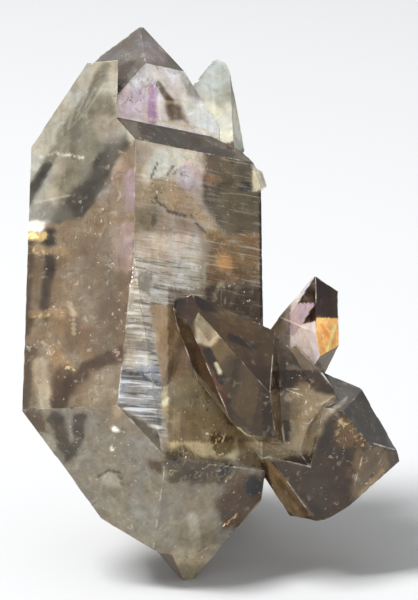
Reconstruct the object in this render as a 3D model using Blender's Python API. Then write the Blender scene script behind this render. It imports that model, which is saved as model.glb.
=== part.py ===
"""Smoky quartz with amethyst: one grown-together cluster of quartz crystals.

Metres, +Z up, the front faces -Y. The origin is below the middle of the cluster, on the ground.
A crystal is a block trimmed by its flat faces, each a direction and a distance from the crystal's
middle. In the large crystal the directions follow the habit of quartz: six prism faces 60 degrees
apart along one axis, and pyramid faces that close its ends. The side crystals are tapered and partly
overgrown, so their faces have compass directions of their own. Overlapping crystals join in one solid.
"""

import math

import bmesh
import bpy
from mathutils import Vector

OBJECT_NAME = "smoky_quartz_amethyst"
NODE_NAME = "quartz_cluster"

# The crystals are placed from a point in the middle of the large one, this far from the origin
MIDDLE = Vector((-0.00068, -0.01144, 0.04280))
BLOCK = 0.060

# Habit of quartz: the angle between a pyramid face's direction and the long axis
PYRAMID = 51.8

# Prism faces of the large crystal, counted round the axis from the broad face at front left
FRONT_LEFT = 0
FRONT_RIGHT = 1
RIGHT = 2
BACK_RIGHT = 3
BACK_LEFT = 4
LEFT = 5

# The large crystal leans back on its heel
LARGE_AT = Vector((-0.0103, 0.0039, -0.0016))
LARGE_LEAN_BACK = 24.4
LARGE_LEAN_RIGHT = 0.7
LARGE_FRONT_TURN = -20.5
LARGE_PRISM = (0.0134, 0.0102, 0.0186, 0.0136, 0.0125)
PRISM_TAPER = (0, 0, 1.5, 0, 0)
LEDGE = 0.0218
SHOULDER = 0.0269
LOWER_PYRAMID = (0.0214, 0.0234, 0.0331, 0.0300, 0.0231)
FROSTED_CORNER = 0.0124
FROSTED_TURN = 20.9
FROSTED_TILT = -3.7

# The faces at the left have grown uneven and are turned back, so that the broad face ends in the outline.
# Each has its turn from the front, its tilt and its distance.
LEFT_SIDE = (-90.6, 0.7, 0.01688)
UPPER_LEFT_SIDE = (-83.1, 32.6, 0.02679)
LOWER_LEFT_SIDE = (-97.5, -35.3, 0.0233)
LOWER_LEFT_BEVEL = (-106.7, -58.5, 0.03065)

# The set-back upper growth: its broad front face, and the pyramid faces of the summit
UPPER_FRONT = 0.0073
UPPER_INSET = 0.0003
UPPER_PYRAMID = (0.0284, 0.0275, 0.0260, 0.0290, 0.0253, 0.0289)
SUMMIT_BEVEL = 0.0286

# The broad left face stands up past the ledge as a slab: the place of its right edge, and its top
SLAB_EDGE = -0.0058
SLAB_TOP = 0.0243
SLAB_TOP_TILT = 62.0

# The stepped lower tip
TIP_LEFT = 0.0188
TIP_BACK = 0.0285
TIP_BACK_RIGHT = 0.0350
TIP_ROOT = 0.0250
TIP_INSET = 0.0001


def compass(turn, tilt):
    """The direction that is turned from the front towards the right and tilted up, in degrees."""
    level = math.cos(math.radians(tilt))
    east = math.sin(math.radians(turn)) * level
    north = -math.cos(math.radians(turn)) * level
    return Vector((east, north, math.sin(math.radians(tilt))))


def free_faces(measures):
    """Faces given as turn, tilt and distance."""
    return [(compass(turn, tilt), distance) for turn, tilt, distance in measures]


def prism_face(number):
    """A prism face of the large crystal, in its own frame with the long axis upright."""
    return compass(LARGE_FRONT_TURN + 60 * number, PRISM_TAPER[number])


def pyramid_face(number, end):
    """The pyramid face over a prism face, at the upper end (1) or the lower end (-1)."""
    return compass(LARGE_FRONT_TURN + 60 * number, end * (90 - PYRAMID))


def prism_faces(inset=0):
    """The six sides of the large crystal, which may be set in a little."""
    turn, tilt, distance = LEFT_SIDE
    faces = [(prism_face(number), LARGE_PRISM[number] - inset) for number in range(LEFT)]
    return faces + [(compass(turn, tilt), distance - inset)]


def trimmed_block(faces):
    """A block cut back to its flat faces, each given as a direction and a distance."""
    bm = bmesh.new()
    bmesh.ops.create_cube(bm, size=2 * BLOCK)
    for direction, distance in faces:
        geometry = bm.verts[:] + bm.edges[:] + bm.faces[:]
        cut = bmesh.ops.bisect_plane(
            bm, geom=geometry, plane_co=direction * distance, plane_no=direction, clear_outer=True
        )
        rim = [item for item in cut["geom_cut"] if isinstance(item, bmesh.types.BMEdge)]
        bmesh.ops.holes_fill(bm, edges=rim)
    bmesh.ops.recalc_face_normals(bm, faces=bm.faces[:])
    return bm


def new_collection(name):
    collection = bpy.data.collections.new(name)
    bpy.context.scene.collection.children.link(collection)
    return collection


def smoky_material():
    material = bpy.data.materials.new("smoky_quartz")
    material.use_nodes = True
    shader = material.node_tree.nodes["Principled BSDF"]
    shader.inputs["Base Color"].default_value = (0.23, 0.19, 0.15, 1)
    shader.inputs["Roughness"].default_value = 0.12
    shader.inputs["Metallic"].default_value = 0.0
    return material


def crystal(name, faces, collection, at, turn=(0, 0, 0)):
    """A named crystal: its block trimmed to the faces, turned and set in its place."""
    bm = trimmed_block(faces)
    mesh = bpy.data.meshes.new(name)
    bm.to_mesh(mesh)
    bm.free()
    found = bpy.data.objects.new(name, mesh)
    collection.objects.link(found)
    found.location = MIDDLE + at
    found.rotation_euler = [math.radians(angle) for angle in turn]
    return found


def guide(found):
    found.hide_render = True
    found.display_type = "WIRE"


def change(target, other, operation):
    """Joins the other solid to the target, or cuts it away."""
    modifier = target.modifiers.new(other.name, "BOOLEAN")
    modifier.operation = operation
    modifier.solver = "EXACT"
    modifier.object = other
    guide(other)


def large_body_faces():
    """The large crystal without its summit, up to the top of the slab at its left."""
    faces = prism_faces()
    faces += [(pyramid_face(number, -1), LOWER_PYRAMID[number]) for number in range(LEFT)]
    faces += free_faces((UPPER_LEFT_SIDE, LOWER_LEFT_SIDE, LOWER_LEFT_BEVEL))
    faces.append((pyramid_face(RIGHT, 1), SHOULDER))
    faces.append((compass(LARGE_FRONT_TURN + 180, SLAB_TOP_TILT), SLAB_TOP))
    faces.append((compass(FROSTED_TURN, FROSTED_TILT), FROSTED_CORNER))
    return faces


def ledge_faces():
    """What is missing above the ledge, to the right of the slab."""
    slab_edge = compass(LARGE_FRONT_TURN + 60 * RIGHT, 0)
    return [(-pyramid_face(FRONT_RIGHT, 1), -LEDGE), (-slab_edge, -SLAB_EDGE)]


def upper_growth_faces():
    """The summit, whose broad front face is set back behind the ledge."""
    turn, tilt, distance = UPPER_LEFT_SIDE
    faces = prism_faces(UPPER_INSET)
    faces.append((compass(turn, tilt), distance - UPPER_INSET))
    faces += [(pyramid_face(number, 1), UPPER_PYRAMID[number]) for number in range(6)]
    faces.append((prism_face(FRONT_RIGHT), UPPER_FRONT))
    bevel = pyramid_face(LEFT, 1) + pyramid_face(BACK_LEFT, 1)
    faces.append((bevel.normalized(), SUMMIT_BEVEL))
    faces.append((compass(0, -90), 0))
    return faces


def tip_faces():
    """The lowest tip, a step that stands out beyond the lower pyramid."""
    distances = dict(enumerate(LOWER_PYRAMID))
    distances[LEFT] = TIP_LEFT
    distances[BACK_LEFT] = TIP_BACK
    distances[BACK_RIGHT] = TIP_BACK_RIGHT
    faces = prism_faces(UPPER_INSET)
    faces += [(pyramid_face(number, -1), distances[number] - TIP_INSET) for number in range(6)]
    faces.append((compass(0, 90), -TIP_ROOT))
    return faces


# The tapered smoky crystal that leans across the front, tip up and to the left
TAPERED_AT = Vector((0.0024, -0.0063, -0.0069))
TAPERED_FACES = (
    (-33, 24, 0.0066),
    (1, 12, 0.0036),
    (-56, -14, 0.0044),
    (46, 38, 0.0034),
    (-136, -6, 0.0048),
    (177, 39, 0.0054),
    (-105, -49, 0.0052),
    (77, 10, 0.0066),
    (-12, -61, 0.0117),
    (180, -20, 0.0090),
)

# The milky foot that the tapered crystal grows from
FOOT_AT = Vector((0.0122, -0.0032, -0.0170))
FOOT_FACES = (
    (3, 14, 0.0040),
    (28, 58, 0.0042),
    (-17, -47, 0.0062),
    (-58, -32, 0.0069),
    (95, 45, 0.0074),
    (51, -9, 0.0047),
    (-106, 47, 0.0074),
    (180, -14, 0.0070),
    (106, -4, 0.0064),
    (7, 34, 0.0035),
)

# The small olive crystal between the tapered and the upright ones
OLIVE_AT = Vector((0.0116, 0.0007, -0.0095))
OLIVE_FACES = (
    (20, 28, 0.0028),
    (117, 24, 0.0006),
    (-95, 18, 0.0022),
    (0, -65, 0.0059),
    (180, -14, 0.0060),
    (99, -15, 0.0037),
)

# The small upright crystal at the right
UPRIGHT_AT = Vector((0.0162, 0.0088, -0.0061))
UPRIGHT_FACES = (
    (30, 19, 0.0029),
    (-42, 17, 0.0025),
    (-44, 4, 0.0026),
    (149, 45, 0.0053),
    (-134, 36, 0.0046),
    (112, -8, 0.0028),
    (48, -34, 0.0051),
    (180, -10, 0.0045),
    (0, -90, 0.0150),
)

# The chunky crystal at the lower right
CHUNKY_AT = Vector((0.0183, 0.0011, -0.0244))
CHUNKY_FACES = (
    (-1, 1, 0.0063),
    (63, 35, 0.0085),
    (42, -9, 0.0076),
    (-36, -21, 0.0092),
    (119, 20, 0.0082),
    (96, -58, 0.0065),
    (-22, -85, 0.0092),
    (-88, -32, 0.0099),
    (42, 74, 0.0098),
    (127, 58, 0.0110),
    (180, 0, 0.0090),
    (-120, 0, 0.0120),
)

# The small pale crystal behind the upper right
PALE_AT = Vector((0.0011, 0.0181, 0.0271))
PALE_FACES = (
    (-111, 34, 0.0041),
    (69, 11, 0.0026),
    (-6, 22, 0.0010),
    (64, 84, 0.0058),
    (131, 6, 0.0024),
    (-162, 4, 0.0037),
    (-71, -1, 0.0041),
    (0, -90, 0.0080),
)

# The chip that stands out at the right shoulder
CHIP_AT = Vector((0.0072, 0.0137, 0.0155))
CHIP_FACES = (
    (76, 21, 0.0006),
    (90, 59, 0.0012),
    (18, 13, 0.0010),
    (64, -48, 0.0015),
    (-90, 0, 0.0012),
    (180, -14, 0.0025),
    (-93, 67, 0.0016),
    (-44, -63, 0.0020),
)

# Six-sided crystals at the rear, hidden in front view. The heel and its two neighbours are broken off
# flat where the cluster stands on them, and the fourth leans out at the back with its point up.
# Each has its place, its turn, the turn of its first face, its mean half width and its length.
HEEL_AT = Vector((-0.0052, 0.0255, -0.0430))
HEEL_TURN = (26, 0, 0)
HEEL_HALF_WIDTH = 0.0087
HEEL_LENGTH = 0.0320
LEFT_HEEL_AT = Vector((-0.0105, 0.0315, -0.0420))
LEFT_HEEL_TURN = (20, 16, 0)
LEFT_HEEL_HALF_WIDTH = 0.0050
LEFT_HEEL_LENGTH = 0.0230
RIGHT_HEEL_AT = Vector((0.0012, 0.0320, -0.0420))
RIGHT_HEEL_TURN = (30, -12, 20)
RIGHT_HEEL_HALF_WIDTH = 0.0042
RIGHT_HEEL_LENGTH = 0.0190
REAR_AT = Vector((-0.0090, 0.0205, -0.0150))
REAR_TURN = (-48, -12, 10)
REAR_HALF_WIDTH = 0.0061
REAR_LENGTH = 0.0200
STUB_FOOT = 0.0100
STUB_SPIN = 30
STUB_UNEVENNESS = (0.00, 0.02, 0.08, 0.03, 0.00, -0.03)


def habit_faces(half_width, length):
    """A six-sided crystal in its own frame: uneven prism faces, one point and a flat foot."""
    faces = [(compass(0, -90), STUB_FOOT)]
    for number, extra in enumerate(STUB_UNEVENNESS):
        turn = STUB_SPIN + 60 * number
        faces.append((compass(turn, 0), half_width * (1 + extra)))
        faces.append((compass(turn, 90 - PYRAMID), length * math.cos(math.radians(PYRAMID)) * (1 - extra)))
    return faces


def large_crystal(parts, cutters):
    turn = (-LARGE_LEAN_BACK, LARGE_LEAN_RIGHT, 0)
    body = crystal(NODE_NAME, large_body_faces(), parts, LARGE_AT, turn)
    notch = crystal("ledge_notch", ledge_faces(), cutters, LARGE_AT, turn)
    change(body, notch, "DIFFERENCE")
    summit = crystal("upper_growth", upper_growth_faces(), cutters, LARGE_AT, turn)
    change(body, summit, "UNION")
    tip = crystal("stepped_tip", tip_faces(), cutters, LARGE_AT, turn)
    change(body, tip, "UNION")
    return body


def main():
    for old in list(bpy.data.objects):
        bpy.data.objects.remove(old, do_unlink=True)
    parts = new_collection(OBJECT_NAME)
    cutters = new_collection("cutters")
    cluster = large_crystal(parts, cutters)
    for name, at, turn, half_width, length in (
        ("heel_crystal", HEEL_AT, HEEL_TURN, HEEL_HALF_WIDTH, HEEL_LENGTH),
        ("left_heel_crystal", LEFT_HEEL_AT, LEFT_HEEL_TURN, LEFT_HEEL_HALF_WIDTH, LEFT_HEEL_LENGTH),
        ("right_heel_crystal", RIGHT_HEEL_AT, RIGHT_HEEL_TURN, RIGHT_HEEL_HALF_WIDTH, RIGHT_HEEL_LENGTH),
        ("rear_crystal", REAR_AT, REAR_TURN, REAR_HALF_WIDTH, REAR_LENGTH),
    ):
        change(cluster, crystal(name, habit_faces(half_width, length), cutters, at, turn), "UNION")
    for name, at, measures in (
        ("chunky_crystal", CHUNKY_AT, CHUNKY_FACES),
        ("milky_foot", FOOT_AT, FOOT_FACES),
        ("olive_crystal", OLIVE_AT, OLIVE_FACES),
        ("upright_crystal", UPRIGHT_AT, UPRIGHT_FACES),
        ("tapered_crystal", TAPERED_AT, TAPERED_FACES),
        ("pale_crystal", PALE_AT, PALE_FACES),
        ("shoulder_chip", CHIP_AT, CHIP_FACES),
    ):
        change(cluster, crystal(name, free_faces(measures), cutters, at), "UNION")
    ground = crystal("ground", [(compass(0, 90), 0)], cutters, -MIDDLE)
    change(cluster, ground, "DIFFERENCE")
    cluster.data.materials.append(smoky_material())


main()
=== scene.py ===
# %% [markdown]
# # Smoky quartz with amethyst
# One cluster of crystals that has grown as one piece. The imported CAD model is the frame: it gives the
# size, the place and the flat faces of every crystal. This lesson dresses that solid: its edges are worn,
# its faces get the fine relief of growth, and the stone gets its clouds, veils and colour zones.
#
# The frame is loaded first, because every size and place below is read from it or set against it.

# %% Load the frame
import math
import random
from functools import partial, reduce

import bmesh
import bpy
import numpy as np
from mathutils import Euler, Matrix, Vector, noise


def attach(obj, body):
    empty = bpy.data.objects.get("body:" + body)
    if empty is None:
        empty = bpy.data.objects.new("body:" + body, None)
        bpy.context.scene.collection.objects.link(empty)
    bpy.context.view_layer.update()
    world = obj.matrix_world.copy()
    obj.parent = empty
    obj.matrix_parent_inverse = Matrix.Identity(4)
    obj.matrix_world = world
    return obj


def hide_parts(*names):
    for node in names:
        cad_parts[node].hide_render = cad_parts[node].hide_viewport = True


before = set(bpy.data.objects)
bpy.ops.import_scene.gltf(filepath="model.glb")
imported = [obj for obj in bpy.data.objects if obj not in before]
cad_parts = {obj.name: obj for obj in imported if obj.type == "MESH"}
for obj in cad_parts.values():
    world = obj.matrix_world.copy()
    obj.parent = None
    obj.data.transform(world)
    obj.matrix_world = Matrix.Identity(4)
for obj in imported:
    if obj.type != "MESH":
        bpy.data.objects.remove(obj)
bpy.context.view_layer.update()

# %% [markdown]
# ## The camera
# The photograph looks down on the cluster by 14 degrees, straight along the depth of the frame. A short
# lens close by would make the side crystals look larger than they are. So a long lens stands far away,
# which gives the flat, calm perspective of a specimen photograph. The size of a pixel is kept, because
# the paint below is placed in the photograph's pixels.

# %% Camera
LOOK_AT = Vector((-0.00068, -0.01144, 0.04280))
CAMERA_RISE = math.radians(14)
CAMERA_DISTANCE = 0.467
PICTURE_HEIGHT = 0.090
SENSOR = 36.0
PIXEL = 0.00015
PICTURE_MIDDLE = (209, 300)

rightward = Vector((1, 0, 0))
upward = Vector((0, math.sin(CAMERA_RISE), math.cos(CAMERA_RISE)))
toward_camera = Vector((0, -math.cos(CAMERA_RISE), math.sin(CAMERA_RISE)))
camera_data = bpy.data.cameras.new("specimen_camera")
camera_data.sensor_width = SENSOR
camera_data.lens = SENSOR * CAMERA_DISTANCE / PICTURE_HEIGHT
camera = bpy.data.objects.new("specimen_camera", camera_data)
camera.location = LOOK_AT + toward_camera * CAMERA_DISTANCE
camera.rotation_euler = (math.radians(90) - CAMERA_RISE, 0, 0)
bpy.context.scene.collection.objects.link(camera)
bpy.context.scene.camera = camera
print("lens:", round(camera_data.lens, 1), "mm")

# %% [markdown]
# ## Floor, light and world
# The specimen stands on white paper, which is a large plane. Several lamps could light it, but glossy
# faces would mirror each of them. So a bright world, a little dimmer on one side, fills the shadows, and
# one broad window light stands high at the left, a little in front. The soft shadow falls under the
# cluster and to its right.

# %% Floor
FLOOR_SIZE = 6.0
PAPER = (0.46, 0.463, 0.466, 1)
PAPER_ROUGHNESS = 0.9

bpy.ops.object.select_all(action="DESELECT")
bpy.ops.mesh.primitive_plane_add(size=FLOOR_SIZE, location=(0, 0, 0))
floor = bpy.context.object
floor.name = "paper_floor"
paper = bpy.data.materials.new("white_paper")
paper.use_nodes = True
paper.node_tree.nodes["Principled BSDF"].inputs["Base Color"].default_value = PAPER
paper.node_tree.nodes["Principled BSDF"].inputs["Roughness"].default_value = PAPER_ROUGHNESS
floor.data.materials.append(paper)
print("floor:", FLOOR_SIZE, "m")

# %% Window light and world
WORLD_COLOUR = (0.97, 0.985, 1.0, 1)
DIM_COLOUR = (0.34, 0.34, 0.35, 1)
DIM_UNTIL = 0.10
BRIGHT_FROM = 0.75
BRIGHT_SIDE = Vector((-0.60, -0.35, 0.75))
WORLD_STRENGTH = 0.85
WINDOW_AT = Vector((-0.98, -0.45, 1.80))
WINDOW_SIZE = 0.60
WINDOW_WATTS = 74.0

world = bpy.data.worlds.new("studio")
world.use_nodes = True
sky = world.node_tree.nodes
backdrop = sky["Background"]
backdrop.inputs["Strength"].default_value = WORLD_STRENGTH
looking = sky.new("ShaderNodeTexCoord")
aimed = sky.new("ShaderNodeVectorMath")
aimed.operation = "DOT_PRODUCT"
aimed.inputs[1].default_value = BRIGHT_SIDE.normalized()
fade = sky.new("ShaderNodeValToRGB")
fade.color_ramp.elements[0].position = DIM_UNTIL
fade.color_ramp.elements[0].color = DIM_COLOUR
fade.color_ramp.elements[1].position = BRIGHT_FROM
fade.color_ramp.elements[1].color = WORLD_COLOUR
share = sky.new("ShaderNodeMath")
share.operation = "MULTIPLY_ADD"
share.inputs[1].default_value = 0.5
share.inputs[2].default_value = 0.5
world.node_tree.links.new(looking.outputs["Generated"], aimed.inputs[0])
world.node_tree.links.new(aimed.outputs["Value"], share.inputs[0])
world.node_tree.links.new(share.outputs[0], fade.inputs["Fac"])
world.node_tree.links.new(fade.outputs["Color"], backdrop.inputs["Color"])
bpy.context.scene.world = world
bpy.context.scene.view_settings.view_transform = "Standard"
window_data = bpy.data.lights.new("window", "AREA")
window_data.size = WINDOW_SIZE
window_data.energy = WINDOW_WATTS
window = bpy.data.objects.new("window", window_data)
window.location = WINDOW_AT
window.rotation_euler = (LOOK_AT - WINDOW_AT).to_track_quat("-Z", "Y").to_euler()
bpy.context.scene.collection.objects.link(window)
print("window light:", WINDOW_WATTS, "W")

# %% [markdown]
# ## A working copy of the crystals
# The CAD mesh has the right shape but only a few long triangles, so there is nothing to wear or to paint.
# The crystals could be cut from prisms again, but then the dressed stone and the solid would drift apart.
# So a copy of the frame's mesh is merged, and its flat faces are cleaned.

# %% Copy and clean
WELD = 1e-6
FLAT = math.radians(0.6)

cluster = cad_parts["quartz_cluster"]
bpy.ops.object.select_all(action="DESELECT")
crystals = bpy.data.objects.new("quartz_crystals", cluster.data.copy())
bpy.context.scene.collection.objects.link(crystals)
bpy.context.view_layer.objects.active = crystals
crystals.select_set(True)
bpy.ops.object.mode_set(mode="EDIT")
bpy.ops.mesh.select_all(action="SELECT")
bpy.ops.mesh.remove_doubles(threshold=WELD)
bpy.ops.mesh.dissolve_limited(angle_limit=FLAT)
bpy.ops.mesh.quads_convert_to_tris(ngon_method="BEAUTY")
bpy.ops.object.mode_set(mode="OBJECT")
print("clean copy:", len(crystals.data.polygons), "triangles")

# %% [markdown]
# Every long edge is halved again and again, until the edges that the photograph sees are about half a
# millimetre long, those at the rims and in the finest zones a third, and the hidden ones about two. A
# Subdivision modifier would divide every face alike and waste most triangles on the back.

# %% Divide the long edges
SEEN_EDGE = 0.00058
FINE_EDGE = 0.00032
RIM_EDGE = 0.00032
HIDDEN_EDGE = 0.0022
FINE_FRAMES = {
    "upright crystal": (270, 272, 344, 386),
    "tapered crystal": (186, 300, 246, 408),
    "upper block": (112, 78, 212, 128),
}
TURNED_AWAY = 0.02
ROUNDS = 9
SHARP = math.radians(9)


def on_rim(grid):
    """The vertices that lie on a sharp edge of a crystal."""
    return {vert for edge in grid.edges if edge.calc_face_angle(0) > SHARP for vert in edge.verts}


def in_picture(point):
    """Where the photograph shows a point, in its pixels."""
    away = point - camera.location
    scale = CAMERA_DISTANCE / PIXEL / -away.dot(toward_camera)
    return PICTURE_MIDDLE[0] + away.dot(rightward) * scale, PICTURE_MIDDLE[1] - away.dot(upward) * scale


def too_long(edge, rim):
    """Whether an edge is longer than its place on the stone allows."""
    middle = (edge.verts[0].co + edge.verts[1].co) / 2
    sight = (camera.location - middle).normalized()
    if max(face.normal.dot(sight) for face in edge.link_faces) < TURNED_AWAY:
        return edge.calc_length() > HIDDEN_EDGE
    touches = edge.verts[0] in rim or edge.verts[1] in rim
    if edge.calc_length() <= (RIM_EDGE if touches else FINE_EDGE):
        return False
    x, y = in_picture(middle)
    frames = FINE_FRAMES.values()
    fine = any(left < x < right and top < y < bottom for left, top, right, bottom in frames)
    return touches or fine or edge.calc_length() > SEEN_EDGE


grid = bmesh.new()
grid.from_mesh(crystals.data)
for _ in range(ROUNDS):
    rim = on_rim(grid)
    long_edges = [edge for edge in grid.edges if too_long(edge, rim)]
    bmesh.ops.subdivide_edges(grid, edges=long_edges, cuts=1)
    bmesh.ops.triangulate(grid, faces=[face for face in grid.faces if len(face.verts) > 3])
rim_places = {vert.index for vert in on_rim(grid)}
grid.to_mesh(crystals.data)
grid.free()
print("divided:", len(crystals.data.polygons), "triangles")

# %% [markdown]
# ## Reading the faces
# The colour zones of the stone end sharply at its edges and softly inside its faces. A painted image
# would need an unwrapped mesh and would blur across the edges. So paint is laid on each corner of each
# triangle, which can stop exactly at an edge. Every corner knows where it appears in the photograph, and
# which way its face looks.

# %% Corners, directions and places in the picture
mesh = crystals.data
points = np.empty(len(mesh.vertices) * 3)
mesh.vertices.foreach_get("co", points)
points = points.reshape(-1, 3)
corner_point = np.empty(len(mesh.loops), dtype=int)
mesh.loops.foreach_get("vertex_index", corner_point)
normals = np.empty(len(mesh.polygons) * 3)
mesh.polygons.foreach_get("normal", normals)
corner_normal = np.repeat(normals.reshape(-1, 3), 3, axis=0)

from_camera = points - np.array(camera.location)
depth = -from_camera @ np.array(toward_camera)
seen_x = PICTURE_MIDDLE[0] + from_camera @ np.array(rightward) / depth * CAMERA_DISTANCE / PIXEL
seen_y = PICTURE_MIDDLE[1] - from_camera @ np.array(upward) / depth * CAMERA_DISTANCE / PIXEL
print("corners:", len(corner_point), "picture x", seen_x.min().round(), "to", seen_x.max().round())

# %% [markdown]
# Nothing in a stone has a ruled border. A few cloud patterns, worked out once for every point, bend the
# strokes and fray their rims.

# %% Cloud patterns
def clouds(scale, seed, octaves=3):
    """A cloud pattern at every vertex, from about -1 to 1. The scale is in lumps per metre."""
    shift = Vector((seed * 3.7, seed * 1.3, seed * 2.9))
    return np.array([noise.fractal(Vector(p) * scale + shift, 1.0, 2.0, octaves) for p in points])


drift_x = clouds(260, 1)
drift_y = clouds(260, 2)
broad = clouds(60, 3)
ragged = [clouds(520, seed, 6) for seed in (4, 5, 6)]
print("clouds:", broad.std().round(2), ragged[0].std().round(2))

# %% [markdown]
# Quartz faces stand at fixed angles, 60 degrees apart around the crystal and 38.2 degrees up on its
# pyramid. So a face is found by its direction, and no triangle has to be picked by hand.

# %% Face directions
LARGE_LEAN = -24.4
LARGE_ROLL = 0.7
LARGE_TURN = Euler((math.radians(LARGE_LEAN), math.radians(LARGE_ROLL), 0)).to_matrix()
FIRST_FACE = -20.5
PYRAMID_TILT = 38.2
FROSTED_FACE = (20.9, -3.7)


def compass(turn, tilt):
    """The direction turned from the front towards the right, and tilted up, in degrees."""
    turn = math.radians(turn)
    tilt = math.radians(tilt)
    return Vector((math.sin(turn) * math.cos(tilt), -math.cos(turn) * math.cos(tilt), math.sin(tilt)))


def large_face(number, tilt=0):
    """The direction of a face of the large crystal, counted from its broad face to the right."""
    return LARGE_TURN @ compass(FIRST_FACE + 60 * number, tilt)


FACES = {
    "broad": large_face(0),
    "striated": large_face(1),
    "ledge": large_face(1, PYRAMID_TILT),
    "lower left": large_face(0, -PYRAMID_TILT),
    "lower right": large_face(1, -PYRAMID_TILT),
    "frosted": LARGE_TURN @ compass(*FROSTED_FACE),
}


def facing(direction, tolerance=7.0):
    """The corners whose face looks in that direction."""
    wanted = FACES[direction] if isinstance(direction, str) else compass(*direction)
    return corner_normal @ np.array(wanted) > math.cos(math.radians(tolerance))


for name in FACES:
    print(name, int(facing(name).sum()), "corners")

# %% [markdown]
# Three brushes cover what a hand would do in Texture Paint: a band along a path, a filled area and a round
# dab. Each one gives the share of paint at every point, from 0 to 1, with a soft rim.

# %% Brushes
WOBBLE = 1.6


def smooth(value):
    """A soft step from 0 to 1."""
    value = np.clip(value, 0, 1)
    return value * value * (3 - 2 * value)


def stroke_distance(path, wobble):
    """How far every point is from a path, in pixels, where the clouds push it about a little."""
    x = seen_x + wobble * drift_x
    y = seen_y + wobble * drift_y
    nearest = np.full(len(x), 1e9)
    for (ax, ay), (bx, by) in zip(path[:-1], path[1:]):
        length = max((bx - ax) ** 2 + (by - ay) ** 2, 1e-6)
        along = np.clip(((x - ax) * (bx - ax) + (y - ay) * (by - ay)) / length, 0, 1)
        nearest = np.minimum(nearest, np.hypot(x - ax - along * (bx - ax), y - ay - along * (by - ay)))
    return nearest


def band(path, width, soft=3.0, wobble=WOBBLE):
    """A brush drawn along a path in the picture: 1 under the brush, fading to 0 over the soft rim."""
    return smooth((width / 2 + soft - stroke_distance(path, wobble)) / max(soft, 0.01))


def area(outline, soft=3.0, wobble=WOBBLE):
    """An outline in the picture, filled: 1 inside, fading to 0 around it."""
    x = seen_x + wobble * drift_x
    y = seen_y + wobble * drift_y
    inside = np.zeros(len(x), dtype=bool)
    ring = list(outline) + [outline[0]]
    for (ax, ay), (bx, by) in zip(ring[:-1], ring[1:]):
        crosses = (ay > y) != (by > y)
        inside ^= crosses & (x < (bx - ax) * (y - ay) / (by - ay + 1e-9) + ax)
    away = stroke_distance(ring, wobble)
    return smooth(0.5 + np.where(inside, away, -away) / (2 * max(soft, 0.01)))


def spot(x, y, radius, soft=3.0, wobble=WOBBLE):
    """A round dab in the picture."""
    away = np.hypot(seen_x + wobble * drift_x - x, seen_y + wobble * drift_y - y)
    return smooth((radius + soft - away) / max(soft, 0.01))


print("brushes: band, area and spot, with a wobble of", WOBBLE, "pixels")

# %% [markdown]
# Each corner has a colour and six finishes: how clear and how rough it is, how strong its growth lines
# are, and its flecks, gold and veil. The flecks become white sparkles and dark specks, and the gold becomes
# painted glints of light. One function lays them all, later strokes over earlier ones, and it is given a
# region that it doesn't leave. The places of the strokes are named, in pixels.

# %% Paint layers
RAGGED_RIM = 0.38
BRUSH_MOTTLE = 0.18


def linear(colour):
    """A colour as it looks on a screen, 0 to 255, turned into the light it stands for."""
    share = np.array(colour) / 255
    return np.where(share <= 0.04045, share / 12.92, ((share + 0.055) / 1.055) ** 2.4)


SEEN = corner_normal @ np.array(toward_camera) > 0.0
corner_place_y = points[corner_point][:, 1]
every_corner = np.ones(len(corner_point), dtype=bool)
everywhere = np.ones(len(points))
laid = []
tint = np.zeros((len(corner_point), 3))
FINISHES = ("clear", "rough", "lines", "flecks", "gold", "veil")
layers = {name: np.zeros(len(corner_point)) for name in FINISHES}


def lay(cover, colour=None, where=None, strength=1.0, **finish):
    """Lays paint and finish on the corners under the cover, mottled and with a ragged rim."""
    laid.append(colour)
    worn_brush = ragged[int(cover.sum() + strength * 100) % len(ragged)]
    rim_of_stroke = 4 * cover * (1 - cover)
    ragged_cover = smooth(cover + RAGGED_RIM * worn_brush * rim_of_stroke)
    mottled_cover = ragged_cover * (1 + BRUSH_MOTTLE * worn_brush)
    if cover is everywhere:
        mottled_cover = cover
    share = np.clip(mottled_cover, 0, 1.2)[corner_point] * strength
    share = np.where(SEEN if where is None else where, share, 0)
    if colour is not None:
        tint[:] += (linear(colour) - tint) * share[:, None]
    for name, value in finish.items():
        layers[name] += (value - layers[name]) * share


def in_region(region, name):
    """A hand that lays paint in one region only."""
    print(name, int(region.sum()), "corners")
    return partial(lay, where=region)


lay(
    everywhere, (150, 138, 120), where=every_corner, clear=0.75, rough=0.05, lines=0.1, flecks=0.25,
    veil=0.7,
)
lay(smooth(0.5 + 1.5 * broad), (128, 112, 90), where=~SEEN)
lay(smooth(2 * broad - 0.2), (172, 166, 156), where=~SEEN, clear=0.5, rough=0.12)
lay(smooth(2 * clouds(45, 9) - 0.5), (160, 140, 158), where=~SEEN, strength=0.6)
print("strokes so far:", len(laid))

# %% [markdown]
# ## The broad left face
# Above a ragged dark curve the stone is gray green with olive growth bands. Below it the stone is warm and
# brown, crossed by dark upright zones, gold glints and a dark red brown veil. Noise alone could give such
# zones, but not in their places, so they are strokes, and the noise only frays them.

# %% Broad face: the gray green upper part
broad_face = facing("broad")
on_broad = in_region(broad_face, "broad face:")
on_broad(everywhere, (163, 159, 147), clear=0.5, rough=0.10, lines=0.05, flecks=0.15, veil=0.4)
UPPER_GLOW = ((96, 66), (120, 60), (120, 104), (84, 110))
on_broad(area(UPPER_GLOW, 14), (176, 168, 152), strength=0.8)
OLIVE_ZONE = ((97, 112), (88, 140), (80, 172), (72, 200))
on_broad(band(OLIVE_ZONE, 22, 16, 5), (112, 108, 92), strength=0.75)
LEFT_RIM_SHADE = ((106, 66), (81, 106), (61, 138), (45, 168), (33, 186))
on_broad(band(LEFT_RIM_SHADE, 3, 7, 3), (112, 107, 90), strength=0.75)
LEFT_CORNER_DARK = ((47, 166), (36, 184), (28, 200))
on_broad(band(LEFT_CORNER_DARK, 4, 7, 3), (66, 62, 50), strength=0.85)
INNER_GROWTH_LINE = ((104, 76), (80, 114), (66, 140))
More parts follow.
